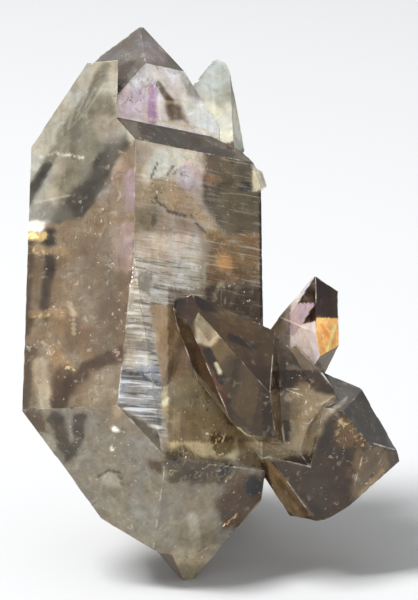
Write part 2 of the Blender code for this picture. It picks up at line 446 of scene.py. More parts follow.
on_broad(band(INNER_GROWTH_LINE, 3, 8, 3), (126, 121, 104), strength=0.5)
GROWTH_LINE_TOP = (104, 84)
GROWTH_LINE_FOOT = (84, 116)
for shift in (0, 9, 17, 26, 38):
    top = (GROWTH_LINE_TOP[0] - shift, GROWTH_LINE_TOP[1] + 0.4 * shift)
    foot = (GROWTH_LINE_FOOT[0] - 0.6 * shift, GROWTH_LINE_FOOT[1] + 0.5 * shift)
    on_broad(band((top, foot), 0.6, 1.6, 0.6), (190, 186, 172), strength=0.35)
DARK_CURVE = ((116, 146), (104, 172), (90, 192), (76, 208), (62, 216))
on_broad(band(DARK_CURVE, 12, 14, 7), (70, 66, 55), strength=0.85, veil=1.0)
GRAY_SHELF = ((30, 200), (60, 198), (72, 218), (26, 221))
on_broad(area(GRAY_SHELF, 8, 6), (112, 109, 100), strength=0.6, veil=1.0)
PALE_CLOUD = (108, 130)
on_broad(spot(*PALE_CLOUD, 8, 14), (164, 156, 144), strength=0.6)
SCRATCH = ((58, 154.5), (70, 155), (83, 158))
on_broad(band(SCRATCH, 0.5, 1.2, 0.4), (206, 206, 198), strength=0.6, clear=0.2)
SCRATCH_END = ((40, 157), (58, 152))
on_broad(band(SCRATCH_END, 0.3, 1.2, 0.4), (200, 200, 194), strength=0.5)
LOW_SCRATCH = ((35, 202), (69, 195))
on_broad(band(LOW_SCRATCH, 0.3, 1.2, 0.4), (196, 196, 190), strength=0.5)
print("strokes so far:", len(laid))

# %% Broad face: the brown lower part
BROWN_LOWER = (
    (18, 223), (58, 224), (82, 216), (97, 202), (108, 188), (114, 170), (119, 154), (136, 138),
    (140, 260), (130, 345), (119, 408), (16, 418),
)
on_broad(area(BROWN_LOWER, 2.5, 3), (134, 118, 98), clear=0.5, veil=0.9, flecks=0.35)
CURVE_LIGHT = ((120, 158), (112, 178), (98, 204))
on_broad(band(CURVE_LIGHT, 3, 4, 4), (150, 136, 128), strength=0.6)
WARM_CENTRE = ((96, 250), (134, 240), (130, 350), (90, 350))
on_broad(area(WARM_CENTRE, 16), (120, 104, 85), strength=0.7)
LILAC_EDGE = ((131, 176), (132, 204))
on_broad(band(LILAC_EDGE, 6, 9), (154, 136, 142), strength=0.7)
LILAC_BELOW = ((127, 232), (124, 264))
on_broad(band(LILAC_BELOW, 8, 11), (158, 142, 144), strength=0.55)
print("strokes so far:", len(laid))

# %% [markdown]
# As the crystal grew, bands of darker and lighter smoke were left standing side by side.

# %% Broad face: upright growth zones
DARK_UPRIGHT = ((49, 234), (50, 262), (47, 290), (45, 316))
on_broad(band(DARK_UPRIGHT, 4, 7, 3), (66, 50, 34), strength=0.85)
LEFT_UPRIGHT = ((29, 240), (28, 280), (26, 330))
on_broad(band(LEFT_UPRIGHT, 4, 6, 3), (84, 68, 46), strength=0.8)
BROWN_UPRIGHT = ((38, 262), (37, 300))
on_broad(band(BROWN_UPRIGHT, 3, 5, 3), (120, 98, 72), strength=0.6)
TAN_PATCH = ((52, 286), (72, 286), (72, 332), (52, 332))
on_broad(area(TAN_PATCH, 9), (140, 114, 84), strength=0.7)
ROSE_PATCH = ((74, 318), (100, 330), (96, 362), (70, 352))
on_broad(area(ROSE_PATCH, 12), (128, 106, 86), strength=0.6)
print("strokes so far:", len(laid))

# %% [markdown]
# Small steps across the bands catch the light in gold, and thin needles shine in cream.

# %% Broad face: gold steps and cream needles
GOLD_GLINT = ((28, 237), (43, 237))
on_broad(band(GOLD_GLINT, 3, 4, 3), (232, 196, 124), strength=0.7, gold=0.9)
UPPER_GOLD_STEP = ((35, 250), (64, 252))
on_broad(band(UPPER_GOLD_STEP, 4, 5, 3), (160, 134, 100), strength=0.7, gold=0.35)
LOWER_GOLD_STEP = ((31, 315), (62, 314))
on_broad(band(LOWER_GOLD_STEP, 4, 5, 3), (160, 134, 100), strength=0.7, gold=0.35)
GOLD_ARC = ((50, 350), (58, 360), (68, 368))
on_broad(band(GOLD_ARC, 6, 7, 5), (160, 134, 100), strength=0.6, gold=0.8)
CREAM_NEEDLE = ((73.5, 319), (74, 335))
on_broad(band(CREAM_NEEDLE, 0.6, 1.6, 0.3), (214, 202, 172), strength=0.5)
CREAM_SMEAR = ((70, 302), (74, 315))
on_broad(band(CREAM_SMEAR, 2, 3, 2), (206, 190, 158), strength=0.6)
print("strokes so far:", len(laid))

# %% [markdown]
# Lower down the bands fade, and a dark red brown veil curves from the right edge to the foot.

# %% Broad face: the foot and the red brown veil
LEFT_FOOT_SHADE = ((30, 350), (26, 380), (24, 404))
on_broad(band(LEFT_FOOT_SHADE, 6, 8, 3), (92, 78, 58), strength=0.8)
PALE_UPRIGHT = ((39, 362), (43, 384), (47, 408))
on_broad(band(PALE_UPRIGHT, 7, 8), (176, 168, 150), strength=0.8)
BROWN_FOOT = ((62, 374), (60, 404))
on_broad(band(BROWN_FOOT, 8, 9, 3), (98, 76, 54), strength=0.7)
RED_BROWN_VEIL = ((121, 354), (103, 360), (86, 371), (70, 384), (58, 400))
on_broad(band(RED_BROWN_VEIL, 7, 9, 4), (88, 68, 52), strength=0.8)
VEIL_END = ((126, 353), (112, 356))
on_broad(band(VEIL_END, 2, 5), (104, 70, 56), strength=0.6)
TAN_FOOT = ((90, 372), (124, 366), (118, 404), (86, 408))
on_broad(area(TAN_FOOT, 8), (148, 132, 108), strength=0.6)
LEFT_RIM_LINE = ((24.5, 235), (22.5, 320), (21, 410))
on_broad(band(LEFT_RIM_LINE, 1, 2, 0.5), (58, 50, 36), strength=0.8)
LEFT_CHIP = ((26, 221), (44, 222), (40, 233), (25, 232))
on_broad(area(LEFT_CHIP, 2.5, 3), (212, 210, 196), strength=0.8, clear=0.25)
print("strokes so far:", len(laid))

# %% [markdown]
# ## The striated right face
# Growth has left it finely ribbed across. Its top is pale and lilac, a wispy golden veil crosses it, the
# middle is frosted silver, and its right side is dark smoke with an orange glow. The ribs are a finish,
# laid with the colour, so they fade where the face is smooth.

# %% Striated face: pale top and dark right side
STRIATED_TOP = 134

in_front_x = seen_x[corner_point]
in_front_y = seen_y[corner_point]
striated = facing("striated") & (in_front_y > STRIATED_TOP)
on_striated = in_region(striated, "striated face:")
on_striated(everywhere, (170, 156, 138), clear=0.5, rough=0.10, lines=0.32, flecks=0.3, veil=0.8)
PALE_TOP = ((137, 142), (205, 150), (204, 186), (137, 182))
on_striated(area(PALE_TOP, 7), (230, 220, 205))
LILAC_SPOT = (189, 176)
on_striated(spot(*LILAC_SPOT, 8, 11), (198, 184, 190), strength=0.7)
TAN_CORNER = ((135, 140), (156, 146), (144, 178), (135, 178))
on_striated(area(TAN_CORNER, 8, 4), (172, 158, 138), strength=0.8)
print("strokes so far:", len(laid))

# %% [markdown]
# Dark smoke fills the right side, and brown and olive steps lie at the left.

# %% Striated face: dark smoke and steps
DARK_SMOKE = ((205, 152), (268, 160), (268, 234), (216, 234), (203, 196))
on_striated(area(DARK_SMOKE, 5, 3), (108, 99, 80), lines=0.42, flecks=0.2)
AMBER_SPOT = (212, 179)
on_striated(spot(*AMBER_SPOT, 2, 9), (158, 128, 92), strength=0.7)
DARK_NOTCH = ((240, 182), (262, 182), (262, 192), (240, 192))
on_striated(area(DARK_NOTCH, 4, 4), (62, 54, 44), strength=0.7)
BROWN_STEP = ((136, 184), (164, 186), (166, 206), (136, 206))
on_striated(area(BROWN_STEP, 6, 5), (168, 148, 118), strength=0.85, veil=1.0)
OLIVE_STEP = ((134, 206), (158, 206), (166, 232), (134, 232))
on_striated(area(OLIVE_STEP, 6, 5), (140, 128, 102), strength=0.85)
DARK_SPOT = (153, 222)
on_striated(spot(*DARK_SPOT, 1, 6, 4), (72, 68, 56), strength=0.7)
print("strokes so far:", len(laid))

# %% [markdown]
# A veil of tiny inclusions runs down to the right, over ribs of a paler pink.

# %% Striated face: golden veil and pink ribs
GOLDEN_VEIL = ((162, 190), (182, 206), (204, 222), (222, 248))
on_striated(
    band(GOLDEN_VEIL, 14, 8, 6), (170, 150, 120), strength=0.85, flecks=0.9, veil=1.0, gold=0.25,
)
VEIL_CRACK = ((158, 198), (168, 212), (192, 220), (212, 242))
on_striated(band(VEIL_CRACK, 0.6, 2.2, 5), (60, 48, 34), strength=0.75)
PINK_RIBS = ((138, 234), (198, 236), (198, 264), (134, 260))
on_striated(area(PINK_RIBS, 5), (206, 193, 178), lines=0.62)
CREAM_STRIP = ((189, 240), (200, 240), (201, 272), (188, 272))
on_striated(area(CREAM_STRIP, 4), (200, 195, 172), strength=0.7)
print("strokes so far:", len(laid))

# %% [markdown]
# Light that comes through the smoke from behind glows orange, which no surface colour would do by
# itself. So it is painted as a round, soft dab.

# %% Striated face: orange glow, wisps and nicks
ORANGE_SMOKE = ((206, 233), (264, 233), (264, 286), (204, 282))
on_striated(area(ORANGE_SMOKE, 7, 4), (140, 114, 80), lines=0.62, flecks=0.2)
ORANGE_GLOW = (225, 262)
on_striated(spot(*ORANGE_GLOW, 2, 12), (204, 158, 98), strength=0.85)
SPECKED_SMOKE = ((204, 284), (264, 284), (264, 340), (206, 312))
on_striated(area(SPECKED_SMOKE, 6, 4), (112, 98, 78), lines=0.4, flecks=0.8, veil=1.0)
LEFT_WISP = ((214, 300), (222, 284))
on_striated(band(LEFT_WISP, 2, 3, 3), (188, 180, 156), strength=0.7)
RIGHT_WISP = ((232, 304), (238, 288))
on_striated(band(RIGHT_WISP, 2, 3, 3), (170, 160, 136), strength=0.6)
RIGHT_RIM_LINE = ((260.5, 190), (261.5, 240), (262, 330))
on_striated(band(RIGHT_RIM_LINE, 2.2, 1.2, 0.4), (30, 24, 20), strength=0.95)
LONG_NICK = ((158, 163), (151, 178))
on_striated(band(LONG_NICK, 0.6, 1.2, 0.6), (58, 48, 40), strength=0.9)
MIDDLE_NICK = ((174, 166), (167, 175))
on_striated(band(MIDDLE_NICK, 0.6, 1.2, 0.6), (58, 48, 40), strength=0.9)
SHORT_NICK = ((178, 168), (174, 174))
on_striated(band(SHORT_NICK, 0.4, 1.2, 0.6), (70, 60, 50), strength=0.8)
print("strokes so far:", len(laid))

# %% Frosted middle and the smooth pink part
frosted = facing("frosted") | striated
on_frosted = in_region(frosted, "frosted and striated:")
SILVER = (
    (134, 256), (198, 262), (202, 300), (160, 308), (154, 342),
    (162, 390), (170, 440), (116, 402), (127, 320),
)
on_frosted(area(SILVER, 4, 3), (184, 178, 166), clear=0.3, rough=0.22, lines=0.9, flecks=0.5, veil=0.9)
CREAM_EDGE = ((196, 262), (208, 262), (206, 306), (196, 300))
on_frosted(area(CREAM_EDGE, 3, 3), (186, 180, 160), strength=0.8, flecks=0.8)
BARE_PATCH = ((139, 270), (153, 272), (150, 296), (140, 290))
on_frosted(area(BARE_PATCH, 1.5, 2), (136, 130, 120), strength=0.85, lines=0.1)
BLUE_SILVER = ((116, 364), (160, 366), (168, 430), (110, 402))
on_frosted(area(BLUE_SILVER, 6), (136, 140, 147), strength=0.8, lines=1.0, rough=0.3)
TAN_RIBS = ((124, 330), (152, 330), (154, 350), (122, 352))
on_frosted(area(TAN_RIBS, 5), (150, 142, 128), strength=0.7, lines=0.6)
FROST_CRACK = ((124, 370), (140, 374), (160, 386))
on_frosted(band(FROST_CRACK, 0.8, 1.5, 2), (66, 58, 50), strength=0.8)
print("strokes so far:", len(laid))

# %% [markdown]
# Beside the frosted silver the face is smooth again, so it gets less roughness and no ribs.

# %% Smooth pink part and cream apron
SMOOTH_PINK = ((150, 306), (192, 306), (192, 372), (164, 392), (156, 350))
on_frosted(
    area(SMOOTH_PINK, 3, 2), (196, 170, 138), clear=0.5, rough=0.07, lines=0.06, flecks=0.1, veil=0.3,
)
PINK_SHADE = ((184, 340), (172, 368), (162, 388))
on_frosted(band(PINK_SHADE, 3, 5, 3), (118, 98, 78), strength=0.6)
CREAM_APRON = ((162, 392), (190, 372), (232, 425), (264, 445), (264, 466), (168, 456))
on_frosted(
    area(CREAM_APRON, 5, 4), (196, 182, 148), clear=0.35, rough=0.10, lines=0.06, flecks=0.8, veil=1.0,
)
APRON_RIM = ((164, 388), (184, 378))
on_frosted(band(APRON_RIM, 0.8, 2, 2), (206, 198, 170), strength=0.7)
WHITE_GLINT = (168, 399)
on_frosted(spot(*WHITE_GLINT, 2, 4, 5), (238, 226, 190), strength=0.9, clear=0.0, gold=1.0)
print("strokes so far:", len(laid))

# %% [markdown]
# ## The lower faces
# Towards the tip the stone turns milky gray, with dark streaks at the left and an orange brown patch and a
# blue black one at the right. Milky stone is less clear and a little rougher, so that is what is laid.

# %% Lower faces
low_left = facing("lower left")
low_right = facing("lower right")
low = low_left | low_right
on_low_left = in_region(low_left, "lower left face:")
on_low_right = in_region(low_right, "lower right face:")
on_low = in_region(low, "lower faces:")
on_low(everywhere, (149, 143, 129), clear=0.4, rough=0.14, lines=0.0, flecks=0.5, veil=0.9)
MILKY_LEFT = ((100, 500), (164, 500), (170, 560), (130, 560))
on_low(area(MILKY_LEFT, 10), (154, 149, 135), flecks=0.3, veil=0.4)
MILKY_RIGHT = ((166, 488), (216, 488), (216, 580), (160, 580))
on_low(area(MILKY_RIGHT, 8), (155, 148, 131), flecks=0.25, veil=0.4)
print("strokes so far:", len(laid))

# %% [markdown]
# Streaks of smoke run down the left face, with a pale window and two bright glints.

# %% Lower faces: the left side
BROWN_CORNER = ((18, 408), (60, 408), (60, 432), (34, 436))
on_low_left(area(BROWN_CORNER, 6, 3), (106, 88, 64), strength=0.85)
PALE_STREAK = ((46, 410), (51, 428))
on_low_left(band(PALE_STREAK, 4, 5), (158, 150, 130), strength=0.75)
DARK_STREAK = ((56, 416), (62, 440), (66, 456))
on_low_left(band(DARK_STREAK, 7, 8, 3), (86, 76, 58), strength=0.85)
SECOND_STREAK = ((80, 420), (77, 440), (73, 452))
on_low_left(band(SECOND_STREAK, 4, 7, 3), (86, 76, 60), strength=0.85)
BLUE_RIM = ((46, 438), (60, 460))
on_low_left(band(BLUE_RIM, 4, 5, 2), (168, 172, 160), strength=0.5)
TAN_ROOF = ((96, 404), (124, 404), (150, 440), (100, 436))
on_low_left(area(TAN_ROOF, 7, 4), (144, 130, 108), strength=0.8)
PALE_WINDOW = ((102, 474), (121, 475), (122, 486), (104, 486))
on_low_left(area(PALE_WINDOW, 2.5, 4), (184, 182, 170), strength=0.8)
WINDOW_RIM = ((99, 476), (108, 471), (118, 473), (123, 484))
on_low_left(band(WINDOW_RIM, 0.8, 2, 2), (98, 86, 64), strength=0.8)
UPPER_GLINT = (114, 431)
on_low_left(spot(*UPPER_GLINT, 2, 4, 6), (240, 234, 210), strength=0.9, clear=0, gold=0.5)
LOWER_GLINT = (113, 450)
on_low_left(spot(*LOWER_GLINT, 1, 3, 6), (236, 230, 206), strength=0.8, clear=0, gold=0.5)
BROWN_CHIP = ((146, 458), (162, 462), (162, 474), (150, 468))
on_low_left(area(BROWN_CHIP, 2, 2), (104, 84, 56), strength=0.85)
print("strokes so far:", len(laid))

# %% [markdown]
# A band full of dark specks and painted gold glints crosses both lower faces under the apron.

# %% Band of specks
band_of_specks = low | frosted
on_speck_band = in_region(band_of_specks, "band of specks:")
SPECK_BAND = ((162, 448), (186, 446), (208, 458), (238, 464), (234, 482), (204, 486), (168, 480))
on_speck_band(area(SPECK_BAND, 4, 6), (96, 82, 56), strength=0.85, flecks=1.0, veil=1.0, gold=0.3)
# Painted gold glints among the dark specks.
GOLD_GLINT_SPECKS = (222, 446)
on_speck_band(spot(*GOLD_GLINT_SPECKS, 10, 6, 6), (104, 90, 60), strength=0.8, flecks=1.0, gold=0.8, veil=1.0)
UPPER_DARK_SPECK = ((172, 452), (186, 452), (182, 466), (170, 462))
on_speck_band(area(UPPER_DARK_SPECK, 2, 3), (70, 58, 38), strength=0.7)
LOWER_DARK_SPECK = ((184, 470), (200, 470), (196, 482), (186, 480))
on_speck_band(area(LOWER_DARK_SPECK, 2, 3), (76, 64, 42), strength=0.7)
DARK_TRIANGLE = ((216, 465), (234, 465), (222, 481))
on_speck_band(area(DARK_TRIANGLE, 1.2, 1), (62, 50, 48), strength=0.9)
print("strokes so far:", len(laid))

# %% [markdown]
# The right face has an orange brown patch and a blue black one, and the tip is pale.

# %% Lower faces: the right side and the tip
BROWN_SHOULDER = ((236, 438), (268, 440), (268, 470), (238, 466))
lay(area(BROWN_SHOULDER, 4, 2), (104, 82, 54), where=low_right | frosted, strength=0.8, flecks=0.6)
ORANGE_PATCH = ((234, 478), (268, 474), (268, 530), (224, 530), (218, 500))
on_low_right(area(ORANGE_PATCH, 8, 3), (104, 70, 36), strength=0.9)
TAN_WEDGE = ((234, 470), (250, 470), (240, 486), (228, 486))
on_low_right(area(TAN_WEDGE, 6), (124, 100, 72), strength=0.8)
BLUE_BLACK = (254, 487)
on_low_right(spot(*BLUE_BLACK, 6, 7), (54, 56, 58), strength=0.9)
BROWN_DAB = (226, 514)
on_low_right(spot(*BROWN_DAB, 2, 8), (96, 78, 54), strength=0.8)
PATCH_RIM = ((265, 497), (250, 514), (235, 536))
on_low_right(band(PATCH_RIM, 1.5, 1.5, 0.5), (168, 150, 128), strength=0.7)
PALE_UPSTROKE = ((192, 518), (196, 543))
on_low_right(band(PALE_UPSTROKE, 6, 5, 3), (180, 178, 166), strength=0.8)
PALE_TIP = ((172, 548), (216, 548), (210, 566), (170, 566))
on_low(area(PALE_TIP, 6, 4), (190, 182, 162), strength=0.8, flecks=0.8)
print("strokes so far:", len(laid))

# %% [markdown]
# ## The summit
# A set back block with a white and lilac front, one violet spot and a brown phantom, over a dark ledge.
# Behind it stand the gray mauve point and a small pale crystal. The block's front looks the same way as
# the striated face, so the two are told apart by their height in the picture.

# %% Ledge and upper block
UPPER_BLOCK_FOOT = 138

ledge = facing("ledge")
on_ledge = in_region(ledge, "ledge:")
on_ledge(everywhere, (80, 69, 56), clear=0.5, rough=0.08, lines=0.1, veil=0.8)
LEDGE_LEFT = ((116, 112), (136, 122), (140, 144), (128, 134))
on_ledge(area(LEDGE_LEFT, 5), (122, 110, 98), strength=0.7)
LEDGE_RIGHT = ((206, 132), (242, 140), (246, 158), (204, 152))
on_ledge(area(LEDGE_RIGHT, 7, 4), (80, 70, 60), strength=0.8)
LEDGE_END = ((226, 138), (262, 150), (262, 168), (238, 162))
on_ledge(area(LEDGE_END, 6), (126, 118, 104), strength=0.6)
print("strokes so far:", len(laid))

# %% [markdown]
# The block over the ledge is the palest part, with one violet spot and a brown phantom inside it.

# %% Upper block
upper = facing("striated") & (in_front_y < UPPER_BLOCK_FOOT)
on_upper = in_region(upper, "upper block:")
on_upper(everywhere, (212, 208, 210), clear=0.35, rough=0.08, lines=0.25, flecks=0.4, veil=0.8)
LILAC_FRONT = ((116, 90), (146, 84), (150, 122), (116, 118))
on_upper(area(LILAC_FRONT, 9), (198, 182, 192))
BROWN_LEFT_RIM = ((136, 56), (148, 58), (122, 96), (112, 98))
on_upper(area(BROWN_LEFT_RIM, 5), (158, 142, 128), strength=0.8)
VIOLET = ((153.5, 86), (153, 100), (152, 120))
on_upper(band(VIOLET, 3, 6, 2), (172, 132, 182), strength=0.85)
PHANTOM_LINE = ((157, 83), (164, 93), (172, 102))
on_upper(band(PHANTOM_LINE, 2, 4, 2), (100, 78, 50), strength=0.9)
PHANTOM = ((166, 98), (180, 104), (188, 122), (169, 121))
on_upper(area(PHANTOM, 5), (92, 70, 40), strength=0.9)
WHITE_FRONT = ((186, 102), (210, 104), (238, 138), (194, 130))
on_upper(area(WHITE_FRONT, 6), (240, 236, 214), strength=0.9, clear=0.2)
GRAY_SPECKS = ((180, 72), (196, 78), (208, 102), (188, 96))
on_upper(area(GRAY_SPECKS, 4), (160, 160, 152), strength=0.8, flecks=1.0)
CREAM_LINE = ((152, 100), (178, 103), (206, 112))
on_upper(band(CREAM_LINE, 1, 2.5, 1), (226, 218, 198), strength=0.35)
FOOT_LINE = ((130, 116), (170, 122), (206, 130))
on_upper(band(FOOT_LINE, 1, 2, 1), (196, 182, 160), strength=0.7)
print("strokes so far:", len(laid))

# %% Point, pale crystal and chip
SUMMIT_FRAME = (84, 0, 200, 100)
PALE_FRAME = (188, 0, 418, 150)
BEHIND_THE_BLOCK = 0.003


def near(left, top, right, bottom):
    """The corners seen inside a frame of the picture."""
    return SEEN & (in_front_x > left) & (in_front_x < right) & (in_front_y > top) & (in_front_y < bottom)


summit = near(*SUMMIT_FRAME) & ~upper & ~broad_face
on_summit = in_region(summit, "point:")
on_summit(everywhere, (114, 108, 101), clear=0.5, veil=0.4)
POINT_LIGHT = (154, 50)
on_summit(spot(*POINT_LIGHT, 6, 14), (144, 134, 136), strength=0.7)
POINT_TIP = (139, 36)
on_summit(spot(*POINT_TIP, 2, 8), (118, 106, 104), strength=0.6)
POINT_LEFT_RIM = ((92, 62), (108, 50), (124, 38))
on_summit(band(POINT_LEFT_RIM, 2, 4), (112, 108, 100), strength=0.6)
POINT_SHADE = ((117, 66), (136, 60), (128, 78), (117, 98))
on_summit(area(POINT_SHADE, 3), (92, 78, 64), strength=0.9, flecks=0.9)
print("strokes so far:", len(laid))

# %% [markdown]
# The small crystal behind is nearly clear, and the chip on the right edge is cream and rough.

# %% Pale crystal and chip
pale = near(*PALE_FRAME) & ~upper & ~ledge & (corner_place_y > BEHIND_THE_BLOCK)
on_pale = in_region(pale, "pale crystal:")
on_pale(everywhere, (176, 178, 170), clear=0.5, rough=0.12, lines=0, flecks=0.1, veil=0.3)
PALE_SIDE = ((226, 64), (236, 100), (236, 134), (229, 120))
on_pale(area(PALE_SIDE, 2), (172, 176, 170), strength=0.8)
PALE_FOOT = ((200, 104), (244, 104), (244, 146), (206, 140))
on_pale(area(PALE_FOOT, 9), (226, 226, 212), strength=0.8)
CHIP = ((251, 165), (270, 165), (270, 193), (251, 192))
lay(area(CHIP, 2.5, 2), (208, 202, 178), strength=0.9, clear=0.25, rough=0.12, flecks=0.9, veil=1.0)
print("strokes so far:", len(laid))

# %% [markdown]
# ## The side crystals
# Each one has its own smoke: dark red brown in the tapered crystal, gold and lilac in the upright one,
# gray and golden brown in the chunky one. What they show are neighbours and facets seen through the
# stone. Real refraction would need their hidden faces to be right, and no photograph shows these, so the
# windows and streaks are painted face by face.

# %% Tapered crystal
TAPERED_FRAME = (168, 288, 290, 442)
BODY_TOP = 352

tapered = near(*TAPERED_FRAME)
tip_face = tapered & facing((-33, 24))
window_face = tapered & facing((1, 12))
left_face = tapered & facing((-56, -14))
top_face = tapered & facing((46, 38))
on_tip = in_region(tip_face, "tip face:")
on_window = in_region(window_face, "window face:")
on_left_face = in_region(left_face, "left face:")
on_top_face = in_region(top_face, "top face:")
on_tip(everywhere, (80, 60, 46), clear=0.6, rough=0.03, lines=0, flecks=0, veil=0.2)
TIP_LIGHT = ((188, 296), (200, 312), (194, 326))
on_tip(area(TIP_LIGHT, 4), (96, 76, 58), strength=0.6)
on_window(everywhere, (100, 80, 54), clear=0.6, rough=0.03, lines=0, flecks=0.1, veil=0.3)
WINDOW_TOP = ((194, 310), (212, 312), (224, 334), (210, 346), (196, 342))
on_window(area(WINDOW_TOP, 5), (206, 196, 170), strength=0.9)
WINDOW_SHADE = ((200, 334), (214, 326), (210, 344), (198, 344))
on_window(area(WINDOW_SHADE, 4), (160, 140, 120), strength=0.6)
OLIVE_WINDOW = ((206, 346), (228, 336), (236, 352), (216, 366))
on_window(area(OLIVE_WINDOW, 6), (128, 106, 70), strength=0.8)
RED_STREAK = ((200, 350), (210, 372), (222, 402))
on_window(band(RED_STREAK, 7, 6), (118, 60, 34), strength=0.9)
BLACK_STREAK = ((207, 350), (214, 362), (222, 380))
on_window(band(BLACK_STREAK, 5, 4), (52, 38, 26), strength=0.9)
WHITE_SLIT = ((217, 363), (220, 373))
on_window(band(WHITE_SLIT, 1.5, 2), (214, 202, 170), strength=0.9)
BROWN_SIDE = ((224, 350), (243, 362), (238, 386), (228, 404), (224, 380))
on_window(area(BROWN_SIDE, 5), (88, 70, 44), strength=0.8)
print("strokes so far:", len(laid))

# %% [markdown]
# Its left face is dark with a cream rim, and its top face carries brown and mauve facets.

# %% Tapered crystal: left face and top face
on_left_face(everywhere, (92, 76, 52), clear=0.5, rough=0.05, lines=0, flecks=0.1, veil=0.3)
DARK_LEFT = ((178, 340), (196, 348), (200, 378), (184, 364))
on_left_face(area(DARK_LEFT, 5), (64, 48, 34), strength=0.9)
CREAM_LEFT_RIM = ((192, 372), (212, 396), (232, 424))
on_left_face(band(CREAM_LEFT_RIM, 4, 3), (166, 154, 128), strength=0.8)
RED_LEFT_LINE = ((198, 362), (214, 390))
on_left_face(band(RED_LEFT_LINE, 2, 3), (128, 66, 40), strength=0.6)
on_top_face(everywhere, (116, 96, 66), clear=0.5, rough=0.04, lines=0.05, flecks=0.1, veil=0.5)
DARK_TOP = ((188, 292), (220, 300), (216, 314), (198, 310))
on_top_face(area(DARK_TOP, 4), (60, 46, 34), strength=0.9)
GOLD_TOP = ((214, 306), (232, 312), (240, 336), (222, 326))
on_top_face(area(GOLD_TOP, 6), (132, 112, 78), strength=0.7)
BROWN_TOP_END = ((250, 320), (282, 334), (276, 364), (262, 356))
on_top_face(area(BROWN_TOP_END, 6), (104, 84, 56), strength=0.7)
TOP_LINE = ((230, 337), (252, 347))
on_top_face(band(TOP_LINE, 2, 5, 3), (50, 40, 28), strength=0.85)
MAUVE_END = ((246, 352), (276, 366), (268, 384), (246, 370))
on_top_face(area(MAUVE_END, 6), (92, 72, 52), strength=0.6)
print("strokes so far:", len(laid))

# %% [markdown]
# What is left of it, under the window, is dark brown.

# %% Tapered crystal: the body
rest_of_tapered = tapered & ~window_face & ~tip_face & ~left_face & (in_front_y > BODY_TOP)
DARK_BODY = ((232, 362), (280, 366), (270, 436), (228, 426))
lay(area(DARK_BODY, 8), (84, 68, 46), where=rest_of_tapered, strength=0.85, veil=0.8)
ROSE_DAB = (254, 392)
lay(spot(*ROSE_DAB, 3, 8, 4), (110, 88, 74), where=rest_of_tapered, strength=0.6)
print("strokes so far:", len(laid))

# %% Upright crystal
UPRIGHT_FRAME = (270, 272, 344, 386)
BESIDE_UPRIGHT_FRAME = (268, 326, 310, 392)
UPRIGHT_FRONT = -0.012

upright = near(*UPRIGHT_FRAME) & (corner_place_y > UPRIGHT_FRONT)
lay(everywhere, (120, 104, 84), where=upright, clear=0.6, rough=0.03, lines=0, flecks=0, veil=0.2)
right_top = upright & facing((30, 19))
left_top = upright & (facing((-42, 17)) | facing((-44, 4)))
on_right_top = in_region(right_top, "upright crystal, right:")
on_left_top = in_region(left_top, "upright crystal, left:")
on_right_top(everywhere, (80, 54, 46), clear=0.6)
OLIVE_SIDE = ((330, 284), (340, 290), (340, 318), (332, 318))
on_right_top(area(OLIVE_SIDE, 5), (94, 78, 52), strength=0.7)
GOLDEN_WINDOW = ((316, 318), (344, 318), (344, 356), (315, 356))
on_right_top(area(GOLDEN_WINDOW, 0.4, 0.2), (222, 168, 100), gold=0.3, clear=0.35)
AMBER_STREAK = ((320, 326), (332, 342))
on_right_top(band(AMBER_STREAK, 1, 2, 2), (196, 122, 54), strength=0.7)
CREAM_STREAK = ((334, 326), (328, 350))
on_right_top(band(CREAM_STREAK, 1, 2, 2), (252, 222, 156), strength=0.7)
OLIVE_BASE = ((314, 356), (344, 356), (328, 378), (302, 376))
on_right_top(area(OLIVE_BASE, 0.4, 0.2), (106, 86, 46))
print("strokes so far:", len(laid))

# %% [markdown]
# The left side is lilac and pale, with brown facets that meet in sharp corners. Their rims are hard, so
# the brush has hardly any softness here.

# %% Upright crystal: lilac left side
on_left_top(everywhere, (192, 182, 182), clear=0.35)
LILAC_SHOULDER = ((292, 300), (304, 288), (312, 280), (298, 303))
on_left_top(area(LILAC_SHOULDER, 1, 0.3), (190, 186, 190))
BROWN_POINT = ((315, 276), (317, 303), (298, 303))
on_left_top(area(BROWN_POINT, 0.4, 0.2), (90, 76, 66), clear=0.6)
LILAC_FACE = ((298, 303), (315, 303), (294, 336), (285, 334), (287, 318))
on_left_top(area(LILAC_FACE, 0.4, 0.2), (164, 147, 156))
DARK_WEDGE = ((316, 302), (317, 321), (302, 324))
on_left_top(area(DARK_WEDGE, 0.4, 0.2), (86, 66, 60), clear=0.6)
GRAY_BASE = ((270, 330), (285, 338), (306, 374), (304, 388), (268, 376))
lay(
    area(GRAY_BASE, 0.8, 0.4), (122, 113, 99), where=near(*BESIDE_UPRIGHT_FRAME) & ~tapered,
    strength=0.9,
)
PALE_SHOULDER = ((272, 330), (282, 314), (290, 306), (288, 332))
lay(area(PALE_SHOULDER, 1, 0.5), (176, 172, 166), where=upright & left_top, strength=0.8)
print("strokes so far:", len(laid))

# %% Chunky crystal
CHUNKY_FRAME = (262, 370, 404, 526)

chunky = near(*CHUNKY_FRAME)
gray_face = chunky & (facing((63, 35)) | facing((42, 74)))
on_chunky = in_region(chunky, "chunky crystal:")
on_gray_face = in_region(gray_face, "gray face:")
on_chunky(everywhere, (78, 62, 42), clear=0.6, rough=0.04, lines=0, flecks=0.5, veil=0.9)
on_gray_face(everywhere, (104, 101, 97), clear=0.45, flecks=0.15, veil=0.4)
ROOF_SHADE = ((322, 374), (352, 383), (372, 398))
on_gray_face(band(ROOF_SHADE, 6, 8), (84, 80, 76), strength=0.75)
GRAY_RIM = ((384, 424), (398, 450))
on_gray_face(band(GRAY_RIM, 3, 4, 2), (176, 174, 168), strength=0.5)
print("strokes so far:", len(laid))

# %% [markdown]
# Golden brown fills the top of its front, and dark smoke the rest.

